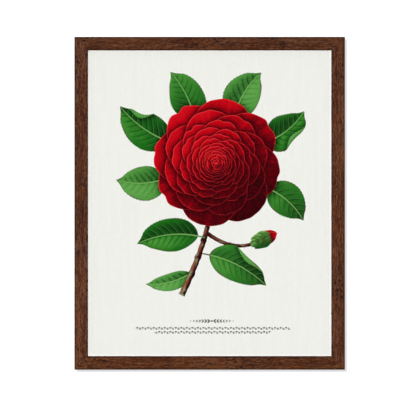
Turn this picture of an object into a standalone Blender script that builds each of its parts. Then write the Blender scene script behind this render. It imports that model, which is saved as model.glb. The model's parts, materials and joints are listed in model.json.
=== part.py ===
"""Framed print: four mitred walnut rails round a clear pane, a printed sheet and two boards,
with turn buttons, wedges, bumpers and a sawtooth hanger at the back.

Units are metres. +Z is up, +X is right as the print is read, and the front faces -Y.
The origin is the hanger's middle notch, where the frame hangs on its hook.
"""

import math

import bmesh
import bpy
from mathutils import Matrix, Vector

# Sheet and moulding
SHEET_WIDTH = 0.4064
SHEET_HEIGHT = 0.508
SHEET_COVER = 0.005
SHEET_CLEARANCE = 0.001
RAIL_FACE = 0.022
RAIL_DEPTH = 0.014
LIP_DEPTH = 0.004
FACE_EDGE_RADIUS = 0.0010
SIGHT_EDGE_RADIUS = 0.0007
BACK_EDGE_RADIUS = 0.0005
EDGE_STEPS = 4
MITRE_GAP = 0.00012
GAP = 0.0003
SHARP_ANGLE = math.radians(30)

# Layers in the rebate, front to back
GLAZING_THICKNESS = 0.002
PRINT_SPACE = 0.0008
SHEET_THICKNESS = 0.0004
FILLER_THICKNESS = 0.0026
BACKING_THICKNESS = 0.003

# Sawtooth hanger, whose middle notch is the origin
HANGER_LENGTH = 0.050
HANGER_HEIGHT = 0.0087
HANGER_RAISED_LENGTH = 0.034
HANGER_SLOPE = 0.0030
HANGER_THICKNESS = 0.0010
HANGER_LIFT = 0.0021
TOOTH_DEPTH = 0.0012
TOOTH_PITCH = 0.003
TOOTH_COUNT = 9
NAIL_HEAD_RADIUS = 0.0017
NAIL_HEAD_HEIGHT = 0.0006
NAIL_RADIUS = 0.00065
NAIL_LENGTH = 0.0095
TOP_ABOVE_NOTCH = 0.011

# Turn buttons and their screws
BUTTON_SPREAD_TOP = 0.110
BUTTON_SPREAD_SIDE = 0.140
BUTTON_THICKNESS = 0.0010
BUTTON_ROOT_RADIUS = 0.0052
BUTTON_TIP_RADIUS = 0.0034
BUTTON_REACH = 0.0165
SCREW_RADIUS = 0.0014
SCREW_LENGTH = 0.0095
SCREW_HEAD_RADIUS = 0.0032
SCREW_HEAD_HEIGHT = 0.0014
RECESS_LENGTH = 0.0034
RECESS_WIDTH = 0.0007
RECESS_DEPTH = 0.0009
ROUND_STEPS = 24

# Wall bumpers and corner wedges
BUMPER_RADIUS = 0.005
BUMPER_HEIGHT = 0.0032
BUMPER_ROUNDING = 0.0008
WEDGE_LEG = 0.0042
WEDGE_THICKNESS = 0.0005
WEDGE_DEPTH = 0.007
WEDGE_SUNK = 0.0002
WEDGE_HALF_ANGLE = math.radians(55)

# Sizes that follow from the ones above
SIGHT_WIDTH = SHEET_WIDTH - 2 * SHEET_COVER
SIGHT_HEIGHT = SHEET_HEIGHT - 2 * SHEET_COVER
OUTER_WIDTH = SIGHT_WIDTH + 2 * RAIL_FACE
OUTER_HEIGHT = SIGHT_HEIGHT + 2 * RAIL_FACE
REBATE_WIDTH = SHEET_COVER + SHEET_CLEARANCE
WOOD_WIDTH = RAIL_FACE - REBATE_WIDTH
CENTRE_Z = TOP_ABOVE_NOTCH - OUTER_HEIGHT / 2
BACK_Y = -(GAP + HANGER_LIFT + HANGER_THICKNESS / 2)
FRONT_Y = BACK_Y - RAIL_DEPTH
LIP_BACK_Y = FRONT_Y + LIP_DEPTH

# Each side's turn about Y from the top one, and each button's side and place along it,
# counted clockwise from the side's middle as the print is read
SIDES = {"top": 0.0, "right": math.pi / 2, "bottom": math.pi, "left": -math.pi / 2}
BUTTON_PLACES = {
    "top_left": ("top", -BUTTON_SPREAD_TOP),
    "top_right": ("top", BUTTON_SPREAD_TOP),
    "right_upper": ("right", -BUTTON_SPREAD_SIDE),
    "right_lower": ("right", BUTTON_SPREAD_SIDE),
    "bottom_right": ("bottom", -BUTTON_SPREAD_TOP),
    "bottom_left": ("bottom", BUTTON_SPREAD_TOP),
    "left_lower": ("left", -BUTTON_SPREAD_SIDE),
    "left_upper": ("left", BUTTON_SPREAD_SIDE),
}

# Colours
WALNUT = (0.098, 0.036, 0.018)
PAPER_WHITE = (0.86, 0.87, 0.83)
CLEAR = (0.95, 0.96, 0.96)
BOARD_WHITE = (0.80, 0.79, 0.75)
FIBREBOARD = (0.33, 0.21, 0.12)
BLACK_STEEL = (0.03, 0.03, 0.032)
ZINC = (0.55, 0.56, 0.58)
BRASS = (0.62, 0.45, 0.20)
GREY_RUBBER = (0.10, 0.10, 0.10)


def clear_scene():
    for ob in list(bpy.data.objects):
        bpy.data.objects.remove(ob, do_unlink=True)


def collection(name):
    found = bpy.data.collections.get(name) or bpy.data.collections.new(name)
    if name not in bpy.context.scene.collection.children:
        bpy.context.scene.collection.children.link(found)
    return found


def material(name, colour, roughness, metallic=0.0):
    """A Principled material, made once for each name."""
    if name in bpy.data.materials:
        return bpy.data.materials[name]
    mat = bpy.data.materials.new(name)
    mat.use_nodes = True
    shader = mat.node_tree.nodes["Principled BSDF"]
    shader.inputs["Base Color"].default_value = (*colour, 1.0)
    shader.inputs["Roughness"].default_value = roughness
    shader.inputs["Metallic"].default_value = metallic
    return mat


def add_part(name, mesh, mat, location=(0, 0, 0), turn=0.0):
    """A named piece in the parts collection, turned about Y and then placed."""
    ob = bpy.data.objects.new(name, mesh)
    if not mesh.materials:
        mesh.materials.append(mat)
    ob.location = location
    ob.rotation_euler = (0, turn, 0)
    PARTS.objects.link(ob)
    return ob


def add_cutter(name, mesh, location=(0, 0, 0), turn=0.0):
    """A shape that only cuts others."""
    ob = bpy.data.objects.new(name, mesh)
    ob.location = location
    ob.rotation_euler = (0, turn, 0)
    ob.display_type = "WIRE"
    ob.hide_render = True
    CUTTERS.objects.link(ob)
    return ob


def cut(ob, cutter):
    boolean = ob.modifiers.new("cut " + cutter.name, "BOOLEAN")
    boolean.operation = "DIFFERENCE"
    boolean.solver = "EXACT"
    boolean.object = cutter


def shade_round(mesh):
    """Smooth over round stretches, sharp over corners."""
    mesh.shade_smooth()
    mesh.set_sharp_from_angle(angle=SHARP_ANGLE)


def evaluated_mesh(ob):
    """The mesh that an object shows with its modifiers, as new data, with loose caps welded."""
    bpy.context.view_layer.update()
    graph = bpy.context.evaluated_depsgraph_get()
    mesh = bpy.data.meshes.new_from_object(ob.evaluated_get(graph))
    mesh.name = ob.name
    shape = bmesh.new()
    shape.from_mesh(mesh)
    bmesh.ops.remove_doubles(shape, verts=shape.verts, dist=0.000001)
    bmesh.ops.recalc_face_normals(shape, faces=shape.faces)
    shape.to_mesh(mesh)
    shape.free()
    return mesh


def flat_mesh(name, outlines, thickness):
    """Closed outlines in the XY plane, filled and given a thickness along Z."""
    curve = bpy.data.curves.new(name, "CURVE")
    curve.dimensions = "2D"
    curve.fill_mode = "BOTH"
    curve.extrude = thickness / 2
    for outline in outlines:
        spline = curve.splines.new("POLY")
        spline.points.add(len(outline) - 1)
        spline.use_cyclic_u = True
        for point, (x, y) in zip(spline.points, outline, strict=True):
            point.co = (x, y, 0, 1)
    ob = bpy.data.objects.new(name, curve)
    CUTTERS.objects.link(ob)
    mesh = evaluated_mesh(ob)
    bpy.data.objects.remove(ob, do_unlink=True)
    shade_round(mesh)
    return mesh


def turned_mesh(name, profile, cutters=()):
    """A profile of (radius, height) points turned about Z, then cut, with its axis laid along Y."""
    mesh = bpy.data.meshes.new(name)
    points = [(radius, 0, height) for radius, height in profile]
    mesh.from_pydata(points, [(i, i + 1) for i in range(len(points) - 1)], [])
    ob = bpy.data.objects.new(name, mesh)
    CUTTERS.objects.link(ob)
    screw = ob.modifiers.new("turn", "SCREW")
    screw.steps = ROUND_STEPS
    screw.render_steps = ROUND_STEPS
    screw.use_merge_vertices = True
    screw.merge_threshold = 0.00001
    for cutter in cutters:
        cut(ob, cutter)
    turned = evaluated_mesh(ob)
    bpy.data.objects.remove(ob, do_unlink=True)
    turned.transform(Matrix.Rotation(-math.pi / 2, 4, "X"))
    shade_round(turned)
    return turned


def box_mesh(name, size, centre=(0, 0, 0)):
    mesh = bpy.data.meshes.new(name)
    shape = bmesh.new()
    place = Matrix.Translation(centre) @ Matrix.Diagonal((*size, 1))
    bmesh.ops.create_cube(shape, size=1, matrix=place)
    shape.to_mesh(mesh)
    shape.free()
    return mesh


def rod_mesh(name, radius, length, sides=16):
    """A plain round rod along Y, centred."""
    mesh = bpy.data.meshes.new(name)
    shape = bmesh.new()
    lay = Matrix.Rotation(math.pi / 2, 4, "X")
    bmesh.ops.create_cone(shape, cap_ends=True, segments=sides, radius1=radius, radius2=radius,
                          depth=length, matrix=lay)
    shape.to_mesh(mesh)
    shape.free()
    return mesh


def arc(centre, radius, start, end, steps):
    """Points of an arc from one angle to another, both in degrees."""
    angles = [math.radians(start + (end - start) * i / steps) for i in range(steps + 1)]
    return [(centre[0] + radius * math.cos(a), centre[1] + radius * math.sin(a)) for a in angles]


def upright(mesh):
    """Turns a shape drawn in XY to stand in XZ, with its thickness along Y."""
    mesh.transform(Matrix.Rotation(math.pi / 2, 4, "X"))
    return mesh


def on_frame(turn, along, inward):
    """The (x, z) place on the side that a turn about Y brings to the top: a distance along the
    side from its middle, and a distance in from the frame's outer edge."""
    half = OUTER_HEIGHT / 2 if round(math.degrees(turn)) % 180 == 0 else OUTER_WIDTH / 2
    spot = Matrix.Rotation(turn, 4, "Y") @ Vector((along, 0, half - inward))
    return spot.x, spot.z + CENTRE_Z


def moulding_profile():
    """The moulding's section, as (distance from the outer edge, depth from the front)."""
    lip = RAIL_FACE - SIGHT_EDGE_RADIUS
    section = arc((FACE_EDGE_RADIUS, FACE_EDGE_RADIUS), FACE_EDGE_RADIUS, 180, 270, EDGE_STEPS)
    section += arc((lip, SIGHT_EDGE_RADIUS), SIGHT_EDGE_RADIUS, -90, 0, EDGE_STEPS)
    section += [(RAIL_FACE, LIP_DEPTH), (WOOD_WIDTH, LIP_DEPTH), (WOOD_WIDTH, RAIL_DEPTH)]
    section += arc((BACK_EDGE_RADIUS, RAIL_DEPTH - BACK_EDGE_RADIUS), BACK_EDGE_RADIUS, 90, 180, 2)
    return section


def mitred_rail_mesh(name, length):
    """A length of moulding along X, its outer edge at z = 0, cut at 45 degrees at both ends."""
    outline = [(-across, FRONT_Y + depth) for across, depth in moulding_profile()]
    mesh = flat_mesh(name, [outline], length)
    mesh.transform(Matrix.Rotation(-math.pi / 2, 4, "Y"))
    shape = bmesh.new()
    shape.from_mesh(mesh)
    for side in (-1, 1):
        normal = Vector((side, 0, -1)).normalized()
        end = Vector((side * length / 2, 0, 0)) - normal * MITRE_GAP / 2
        everything = list(shape.verts) + list(shape.edges) + list(shape.faces)
        bmesh.ops.bisect_plane(shape, geom=everything, plane_co=end, plane_no=normal,
                               clear_outer=True)
        bmesh.ops.holes_fill(shape, edges=[e for e in shape.edges if e.is_boundary], sides=0)
    bmesh.ops.recalc_face_normals(shape, faces=shape.faces)
    shape.to_mesh(mesh)
    shape.free()
    shade_round(mesh)
    return mesh


def make_rails():
    """The four rails by name, each turned about Y from the top one."""
    walnut = material("walnut", WALNUT, 0.55)
    rails = {}
    for name, turn in SIDES.items():
        length = OUTER_WIDTH if name in ("top", "bottom") else OUTER_HEIGHT
        x, z = on_frame(turn, 0, 0)
        mesh = mitred_rail_mesh("rail_" + name, length)
        rails[name] = add_part("rail_" + name, mesh, walnut, (x, 0, z), turn)
    return rails


def make_layers():
    """Glazing, print sheet, filler board and backing board, stacked behind the lip."""
    layers = (
        ("glazing", GLAZING_THICKNESS, GAP, material("clear pane", CLEAR, 0.05)),
        ("print_sheet", SHEET_THICKNESS, PRINT_SPACE, material("paper", PAPER_WHITE, 0.9)),
        ("filler_board", FILLER_THICKNESS, GAP, material("filler", BOARD_WHITE, 0.9)),
        ("backing_board", BACKING_THICKNESS, GAP, material("fibreboard", FIBREBOARD, 0.8)),
    )
    front = LIP_BACK_Y
    for name, thickness, space, mat in layers:
        front += space
        mesh = box_mesh(name, (SHEET_WIDTH, thickness, SHEET_HEIGHT))
        add_part(name, mesh, mat, (0, front + thickness / 2, CENTRE_Z))
        front += thickness


def button_mesh():
    """A flat tapered plate with a round root, a round tip and a screw hole, reaching down."""
    lean = math.degrees(math.asin((BUTTON_ROOT_RADIUS - BUTTON_TIP_RADIUS) / BUTTON_REACH))
    root = arc((0, 0), BUTTON_ROOT_RADIUS, -lean, 180 + lean, 16)
    tip = arc((0, -BUTTON_REACH), BUTTON_TIP_RADIUS, 180 + lean, 360 - lean, 10)
    hole = arc((0, 0), SCREW_RADIUS + GAP, 0, 360 * 15 / 16, 15)
    return upright(flat_mesh("turn button", [root + tip, hole], BUTTON_THICKNESS))


def screw_mesh():
    """A pan-head screw with a cross recess: the head's underside is at y = 0, the tip at -y."""
    top = SCREW_HEAD_HEIGHT
    dome = [(SCREW_HEAD_RADIUS * math.sin(a), top * (0.45 + 0.55 * math.cos(a)))
            for a in (math.radians(90 * i / 4) for i in range(5))]
    tip = SCREW_LENGTH - 2 * SCREW_RADIUS
    profile = dome + [(SCREW_HEAD_RADIUS, 0), (SCREW_RADIUS, 0), (SCREW_RADIUS, -tip),
                      (0, -SCREW_LENGTH)]
    slots = [
        add_cutter("recess_" + tag, box_mesh("recess_" + tag, size, (0, 0, top)))
        for tag, size in (("x", (RECESS_LENGTH, RECESS_WIDTH, 2 * RECESS_DEPTH)),
                          ("y", (RECESS_WIDTH, RECESS_LENGTH, 2 * RECESS_DEPTH)))
    ]
    return turned_mesh("button screw", profile, slots)


def make_buttons(rails):
    """Eight turn buttons, each on the screw that it turns on, with the screw's hole in the rail."""
    steel = material("zinc plate", ZINC, 0.4, 1.0)
    bright = material("screw steel", ZINC, 0.3, 1.0)
    plate, screw = button_mesh(), screw_mesh()
    plate_y = BACK_Y + GAP + BUTTON_THICKNESS / 2
    head_y = BACK_Y + 2 * GAP + BUTTON_THICKNESS
    hole_depth = SCREW_LENGTH + GAP
    hole = rod_mesh("screw hole", SCREW_RADIUS + GAP, 2 * hole_depth)
    for name, (side, along) in BUTTON_PLACES.items():
        turn = SIDES[side]
        x, z = on_frame(turn, along, WOOD_WIDTH / 2)
        add_part("turn_button_" + name, plate, steel, (x, plate_y, z), turn)
        add_part("button_screw_" + name, screw, bright, (x, head_y, z), turn)
        cut(rails[side], add_cutter("screw_hole_" + name, hole, (x, head_y, z)))


def hanger_outline():
    """The hanger seen from above: flat tabs on the wood and a raised bar between them."""
    half, raised = HANGER_LENGTH / 2, HANGER_RAISED_LENGTH / 2
    foot = raised + HANGER_SLOPE
    low = [(-half, 0), (-foot, 0), (-raised, HANGER_LIFT), (raised, HANGER_LIFT), (foot, 0),
           (half, 0)]
    lean = HANGER_THICKNESS * math.tan(math.atan2(HANGER_LIFT, HANGER_SLOPE) / 2)
    high = [(half, 0), (foot + lean, 0), (raised + lean, HANGER_LIFT),
            (-raised - lean, HANGER_LIFT), (-foot - lean, 0), (-half, 0)]
    return low + [(x, y + HANGER_THICKNESS) for x, y in high]


def teeth_cutter_outline():
    """A zigzag whose peaks cut the notches in the bar's lower edge, the middle one at z = 0."""
    first = -(TOOTH_COUNT // 2) * TOOTH_PITCH
    low = -1.2 * TOOTH_DEPTH
    edge = [(first - TOOTH_PITCH / 2, low)]
    for i in range(TOOTH_COUNT):
        middle = first + i * TOOTH_PITCH
        edge += [(middle, 0), (middle + TOOTH_PITCH / 2, low)]
    deep = 3 * low
    return edge + [(edge[-1][0], deep), (edge[0][0], deep)]


def make_hanger(rail):
    """The toothed hanging bar on the top rail, and the two nails through its ends."""
    steel = material("hanger brass", BRASS, 0.35, 1.0)
    wire = material("nail steel", ZINC, 0.35, 1.0)
    bar = flat_mesh("sawtooth_hanger", [hanger_outline()], HANGER_HEIGHT)
    middle_z = HANGER_HEIGHT / 2 - TOOTH_DEPTH
    ob = add_part("sawtooth_hanger", bar, steel, (0, BACK_Y + GAP, middle_z))
    teeth = upright(flat_mesh("teeth", [teeth_cutter_outline()], 4 * HANGER_LIFT))
    cut(ob, add_cutter("teeth", teeth))
    head_y = BACK_Y + 2 * GAP + HANGER_THICKNESS
    profile = [(0, NAIL_HEAD_HEIGHT), (NAIL_HEAD_RADIUS, NAIL_HEAD_HEIGHT * 0.7),
               (NAIL_HEAD_RADIUS, 0), (NAIL_RADIUS, 0), (NAIL_RADIUS, -NAIL_LENGTH * 0.85),
               (0, -NAIL_LENGTH)]
    nail = turned_mesh("hanger nail", profile)
    hole = rod_mesh("nail hole", NAIL_RADIUS + GAP, 2 * (NAIL_LENGTH + GAP))
    tab_middle = (HANGER_LENGTH / 2 + HANGER_RAISED_LENGTH / 2 + HANGER_SLOPE) / 2
    for name, x in (("left", -tab_middle), ("right", tab_middle)):
        add_part("hanger_nail_" + name, nail, wire, (x, head_y, middle_z))
        cutter = add_cutter("nail_hole_" + name, hole, (x, head_y, middle_z))
        cut(ob, cutter)
        cut(rail, cutter)


def make_bumpers():
    """Round pads on the lower back corners."""
    rubber = material("bumper rubber", GREY_RUBBER, 0.7)
    rounding = arc((BUMPER_RADIUS - BUMPER_ROUNDING, BUMPER_HEIGHT - BUMPER_ROUNDING),
                   BUMPER_ROUNDING, 90, 0, 3)
    profile = [(0, BUMPER_HEIGHT)] + rounding + [(BUMPER_RADIUS, 0), (0, 0)]
    mesh = turned_mesh("wall bumper", profile)
    x = OUTER_WIDTH / 2 - WOOD_WIDTH / 2
    z = CENTRE_Z - OUTER_HEIGHT / 2 + 2 * RAIL_FACE
    for name, side in (("left", -1), ("right", 1)):
        add_part("wall_bumper_" + name, mesh, rubber, (side * x, BACK_Y + GAP, z))


def wedge_outline(half_thickness):
    """A V whose legs spread either way from the mitre line, which runs along Y."""
    apex = half_thickness / math.sin(WEDGE_HALF_ANGLE)
    leg = Vector((math.sin(WEDGE_HALF_ANGLE), -math.cos(WEDGE_HALF_ANGLE)))
    across = Vector((leg.y, -leg.x)) * half_thickness
    far = leg * (WEDGE_LEG + half_thickness)
    outer, inner = far - across, far + across
    return [(0, apex), tuple(outer), tuple(inner), (0, -apex), (-inner.x, inner.y),
            (-outer.x, outer.y)]


def make_wedges(rails):
    """A V wedge sunk into each mitre from behind, in a slot that both rails share."""
    steel = material("wedge steel", BLACK_STEEL, 0.45, 1.0)
    wedge = upright(flat_mesh("corner wedge", [wedge_outline(WEDGE_THICKNESS / 2)], WEDGE_DEPTH))
    slot = upright(flat_mesh("wedge slot", [wedge_outline(WEDGE_THICKNESS / 2 + GAP)],
                             2 * (WEDGE_DEPTH + WEDGE_SUNK + GAP)))
    x, z = OUTER_WIDTH / 2 - RAIL_FACE * 0.42, OUTER_HEIGHT / 2 - RAIL_FACE * 0.42
    corners = (("top_right", 1, 1, 45), ("bottom_right", 1, -1, 135),
               ("bottom_left", -1, -1, 225), ("top_left", -1, 1, 315))
    for name, right, up, degrees in corners:
        place = (right * x, BACK_Y - WEDGE_SUNK - WEDGE_DEPTH / 2, CENTRE_Z + up * z)
        turn = math.radians(degrees)
        add_part("corner_wedge_" + name, wedge, steel, place, turn)
        cutter = add_cutter("wedge_slot_" + name, slot, (place[0], BACK_Y, place[2]), turn)
        for side in name.split("_"):
            cut(rails[side], cutter)


clear_scene()
PARTS = collection("framed_print")
CUTTERS = collection("cutters")
RAILS = make_rails()
make_layers()
make_buttons(RAILS)
make_hanger(RAILS["top"])
make_bumpers()
make_wedges(RAILS)
for rail in RAILS.values():
    rail.modifiers.new("even shading", "WEIGHTED_NORMAL").keep_sharp = True
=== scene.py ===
"""Looks of the framed print: a printed camellia on its sheet, a clear pane, walnut rails,
boards and hardware, and a plain studio.

Units are metres. +Z is up and the front faces -Y. Printed shapes are laid out on the sheet
from its centre, x to the right and y up as the print is read, and lie in thin layers between
the sheet and the pane. Light on the printed shapes is drawn, from the upper left.
"""

import json
import math
import random
from dataclasses import dataclass, field

import bpy
import numpy as np
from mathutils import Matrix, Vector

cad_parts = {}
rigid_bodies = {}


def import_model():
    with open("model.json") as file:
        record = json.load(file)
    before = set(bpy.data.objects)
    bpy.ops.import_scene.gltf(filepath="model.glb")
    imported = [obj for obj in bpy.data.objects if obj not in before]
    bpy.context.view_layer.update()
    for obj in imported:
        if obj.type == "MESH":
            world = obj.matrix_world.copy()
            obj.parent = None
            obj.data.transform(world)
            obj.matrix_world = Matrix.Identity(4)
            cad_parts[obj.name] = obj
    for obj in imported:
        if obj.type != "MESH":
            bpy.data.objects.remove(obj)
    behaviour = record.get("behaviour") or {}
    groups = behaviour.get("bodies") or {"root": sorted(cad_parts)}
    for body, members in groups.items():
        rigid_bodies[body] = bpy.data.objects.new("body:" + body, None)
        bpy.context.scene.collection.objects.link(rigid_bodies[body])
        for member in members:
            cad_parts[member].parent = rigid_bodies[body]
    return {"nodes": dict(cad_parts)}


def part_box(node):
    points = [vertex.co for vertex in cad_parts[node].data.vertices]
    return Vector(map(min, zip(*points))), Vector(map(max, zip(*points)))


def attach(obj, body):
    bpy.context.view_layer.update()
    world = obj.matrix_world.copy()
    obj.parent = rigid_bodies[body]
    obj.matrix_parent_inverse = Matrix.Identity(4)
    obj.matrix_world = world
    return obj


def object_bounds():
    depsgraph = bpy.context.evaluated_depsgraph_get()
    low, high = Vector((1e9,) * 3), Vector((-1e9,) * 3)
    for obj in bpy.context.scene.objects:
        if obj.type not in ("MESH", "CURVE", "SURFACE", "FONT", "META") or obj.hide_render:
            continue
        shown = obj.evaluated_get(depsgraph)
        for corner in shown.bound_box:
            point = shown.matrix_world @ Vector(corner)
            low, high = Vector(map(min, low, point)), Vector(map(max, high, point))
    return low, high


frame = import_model()

bl_info = {
    "name": "Framed Print",
    "version": (1, 0, 0),
    "blender": (4, 5, 0),
    "location": "3D View > Sidebar > Framed Print",
    "description": "Finishes a framed botanical print: printed camellia, paper, pane, walnut and hardware",
    "category": "Object",
}

MM = 0.001
BODY = "frame"

CAD_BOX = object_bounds()
SHEET_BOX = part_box("print_sheet")
PANE_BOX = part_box("glazing")
TOP_RAIL_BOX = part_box("rail_top")
LEFT_RAIL_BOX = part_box("rail_left")
CENTRE_X = (SHEET_BOX[0].x + SHEET_BOX[1].x) / 2
CENTRE_Z = (SHEET_BOX[0].z + SHEET_BOX[1].z) / 2
PAPER_FACE = SHEET_BOX[0].y
PRINT_SPACE = PAPER_FACE - PANE_BOX[1].y
RAIL_FACE = TOP_RAIL_BOX[1].z - TOP_RAIL_BOX[0].z
FRONT_Y = TOP_RAIL_BOX[0].y
BACK_Y = TOP_RAIL_BOX[1].y
HALF_WIDTH = (TOP_RAIL_BOX[1].x - TOP_RAIL_BOX[0].x) / 2
HALF_HEIGHT = (LEFT_RAIL_BOX[1].z - LEFT_RAIL_BOX[0].z) / 2
WALL_Y = CAD_BOX[1].y

# The drawn light: from the upper left, in front of the sheet
DRAWN_LIGHT = np.array((-0.46, 0.60, 0.66))
DRAWN_LIGHT /= np.linalg.norm(DRAWN_LIGHT)
# Where a shape's drawn shade falls on the ones under it, how far it spreads on each kind, and the
# spread from which it is shifted in full
SHADE_SHIFT = np.array((0.9, -1.5)) * MM
LEAF_REACH = 5.5 * MM
TURNED_REACH = 3 * MM
TWIG_REACH = 4 * MM
BUD_REACH = 3.6 * MM
FULL_SHIFT_REACH = 6 * MM

# Heights of the printed layers, as shares of the space between sheet and pane, with the slack
# within which two heights are the same and a petal's tilt
LEVEL_ORNAMENT = 0.10
LEVEL_BACK_LEAVES = 0.12
LEVEL_LEAF_STEP = 0.028
LEVEL_TWIG = 0.27
LEVEL_FRONT_LEAVES = 0.31
LEVEL_BUD = 0.38
LEVEL_BUD_STEP = 0.008
LEVEL_BLOOM = 0.47
LEVEL_TOP = 0.90
LEVEL_SLACK = 1e-9
PETAL_TILT = 0.012


def srgb(red, green, blue):
    """A linear colour from one given as 0 to 255 on a screen."""
    def linear(value):
        value /= 255
        return value / 12.92 if value <= 0.04045 else ((value + 0.055) / 1.055) ** 2.4
    return linear(red), linear(green), linear(blue)


# Settings

def colour_setting(name, description, default):
    return bpy.props.FloatVectorProperty(name=name, description=description, subtype="COLOR",
                                         size=3, min=0, max=1, default=default)


def length_setting(name, description, default):
    return bpy.props.FloatProperty(name=name, description=description, unit="LENGTH",
                                   default=default)


class BloomSettings(bpy.types.PropertyGroup):
    """The printed camellia bloom."""

    radius: length_setting("Radius", "From the bloom's centre to its outermost petal tips",
                           106 * MM)
    tiers: bpy.props.IntProperty(name="Tiers", description="Rings of petals", default=11,
                                 min=3, max=16)
    ratio: bpy.props.FloatProperty(name="Ratio", description="Radius of a ring to the next outer",
                                   default=0.825, min=0.5, max=0.95)
    shade: colour_setting("Shade", "Ink in the deepest folds", srgb(36, 0, 4))
    deep: colour_setting("Deep", "Ink between shade and petal colour", srgb(94, 0, 10))
    petal: colour_setting("Petal", "The petals' own crimson", srgb(186, 0, 16))
    lit: colour_setting("Lit", "Where the drawn light falls", srgb(212, 14, 30))
    rim: colour_setting("Rim", "Thin bright line along a petal's edge", srgb(234, 74, 72))


class LeafSettings(bpy.types.PropertyGroup):
    """The printed leaves."""

    tooth_pitch: length_setting("Tooth pitch", "Distance between teeth on a leaf's edge", 4.6 * MM)
    tooth_depth: length_setting("Tooth depth", "How far the teeth stand out", 1.4 * MM)
    vein_pitch: length_setting("Vein pitch", "Distance between side veins", 12 * MM)
    shade: colour_setting("Shade", "Darkest green", srgb(8, 36, 10))
    deep: colour_setting("Deep", "Dark green", srgb(14, 68, 16))
    leaf: colour_setting("Leaf", "The leaves' own green", srgb(28, 108, 24))
    lit: colour_setting("Lit", "Green where the drawn light falls", srgb(80, 152, 58))
    pale: colour_setting("Pale", "Green of young leaves and undersides", srgb(104, 168, 84))
    rust: colour_setting("Rust", "Brown that tinges the leaves' edges", srgb(84, 44, 24))


class StemSettings(bpy.types.PropertyGroup):
    """The printed twig and bud."""

    half_width: length_setting("Half width", "Half the twig's width at its cut end", 5.2 * MM)
    bark: colour_setting("Bark", "Dark brown of the bark", srgb(74, 22, 20))
    bark_shade: colour_setting("Bark shade", "Darkest brown of the bark", srgb(30, 8, 8))
    bark_pale: colour_setting("Pale bark", "Grey-green patches on the bark", srgb(136, 150, 108))
    bud_length: length_setting("Bud length", "From the bud's base to its tip", 47 * MM)


class PaperSettings(bpy.types.PropertyGroup):
    """The sheet and the printed ornament."""

    paper: colour_setting("Paper", "Off-white of the sheet", srgb(241, 241, 236))
    fibre: colour_setting("Fibre", "Slightly darker fibres in the sheet", srgb(229, 229, 221))
    ink: colour_setting("Ink", "Grey-black ink of the ornament", srgb(68, 72, 66))
    sprig_width: length_setting("Sprig width", "Width of the sprig over the garlands", 72 * MM)
    garland_width: length_setting("Garland width", "Width of the longer garland", 252 * MM)


class FrameSettings(bpy.types.PropertyGroup):
    """Wood, boards and metal."""

    walnut: colour_setting("Walnut", "Main brown of the stained wood", srgb(87, 50, 30))
    walnut_dark: colour_setting("Dark walnut", "Dark streaks", srgb(54, 26, 12))
    walnut_light: colour_setting("Light walnut", "Light streaks", srgb(118, 80, 56))
    board: colour_setting("Board", "Brown of the backing board", srgb(138, 100, 66))
    zinc: colour_setting("Zinc", "Plated steel", srgb(196, 197, 199))
    brass: colour_setting("Brass", "Plated hanger", srgb(206, 172, 104))


class StudioSettings(bpy.types.PropertyGroup):
    """Light, wall, floor and camera."""

    lens: bpy.props.FloatProperty(name="Lens", description="Focal length in millimetres",
                                  default=200, min=20, max=1000)
    photo_width: bpy.props.IntProperty(name="Photo width", description="In pixels", default=416)
    photo_frame_width: bpy.props.FloatProperty(
        name="Frame in photo", description="Width of the frame in the photo, in pixels",
        default=270.42)
    photo_offset: bpy.props.FloatVectorProperty(
        name="Offset in photo", description="Frame centre from photo centre, right and down, in pixels",
        size=2, default=(1.66, 1.79))
    key: bpy.props.FloatProperty(name="Key", description="Brightness of white under the key lamp",
                                 default=0.886, min=0, max=2)
    soft: bpy.props.FloatProperty(name="Soft light", description="Even light from the front",
                                  default=0.088, min=0, max=2)


SETTINGS = {
    "print_bloom": BloomSettings,
    "print_leaves": LeafSettings,
    "print_stem": StemSettings,
    "print_paper": PaperSettings,
    "print_frame": FrameSettings,
    "print_studio": StudioSettings,
}


# Drawing the printed shapes

@dataclass
class Shape:
    """One printed shape on a grid: its points on the sheet and the values its ink reads.

    Its height is a share of the space between sheet and pane, one for all points or one each.
    Its reach is how far the drawn shade of the shapes over it spreads on it. A petal of the bloom
    also has its layer, from the outside in, its order in that ring and how many the ring holds.
    """

    piece: str
    columns: int
    rows: int
    points: np.ndarray
    height: np.ndarray
    reach: float = 0.0
    marks: dict = field(default_factory=dict)
    layer: int = 0
    order: int = 0
    count: int = 1

    def outline(self):
        """The grid's outer points, in order."""
        place = self.points.reshape(self.rows + 1, self.columns + 1, 2)
        sides = (place[0, :-1], place[:-1, -1], place[-1, :0:-1], place[:0:-1, 0])
        return np.concatenate(sides)

    def marked(self, slopes, **marks):
        """The shape with these marks, its distance from its rim and the drawn light on its slopes."""
        rim, _ = distance_to(self.points, self.outline())
        self.marks = {**marks, "rim": rim, "light": drawn_light(slopes)}
        return self


def unit_grid(columns, rows):
    """Places of a grid's points, across from -1 to 1 and along from 0 to 1."""
    across, along = np.meshgrid(np.linspace(-1, 1, columns + 1), np.linspace(0, 1, rows + 1))
    return across.ravel(), along.ravel()


def smooth(value, low, high):
    """0 below low, 1 above high, and an even curve between."""
    share = np.clip((value - low) / (high - low), 0, 1)
    return share * share * (3 - 2 * share)


def bell(value, width):
    """1 at 0, falling off to both sides over about this width."""
    return np.exp(-(value / width) ** 2)


def directions(angle):
    """The direction at an angle on the sheet, and the one to its right."""
    way = np.array((math.cos(angle), math.sin(angle)))
    return way, np.array((way[1], -way[0]))


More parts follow.
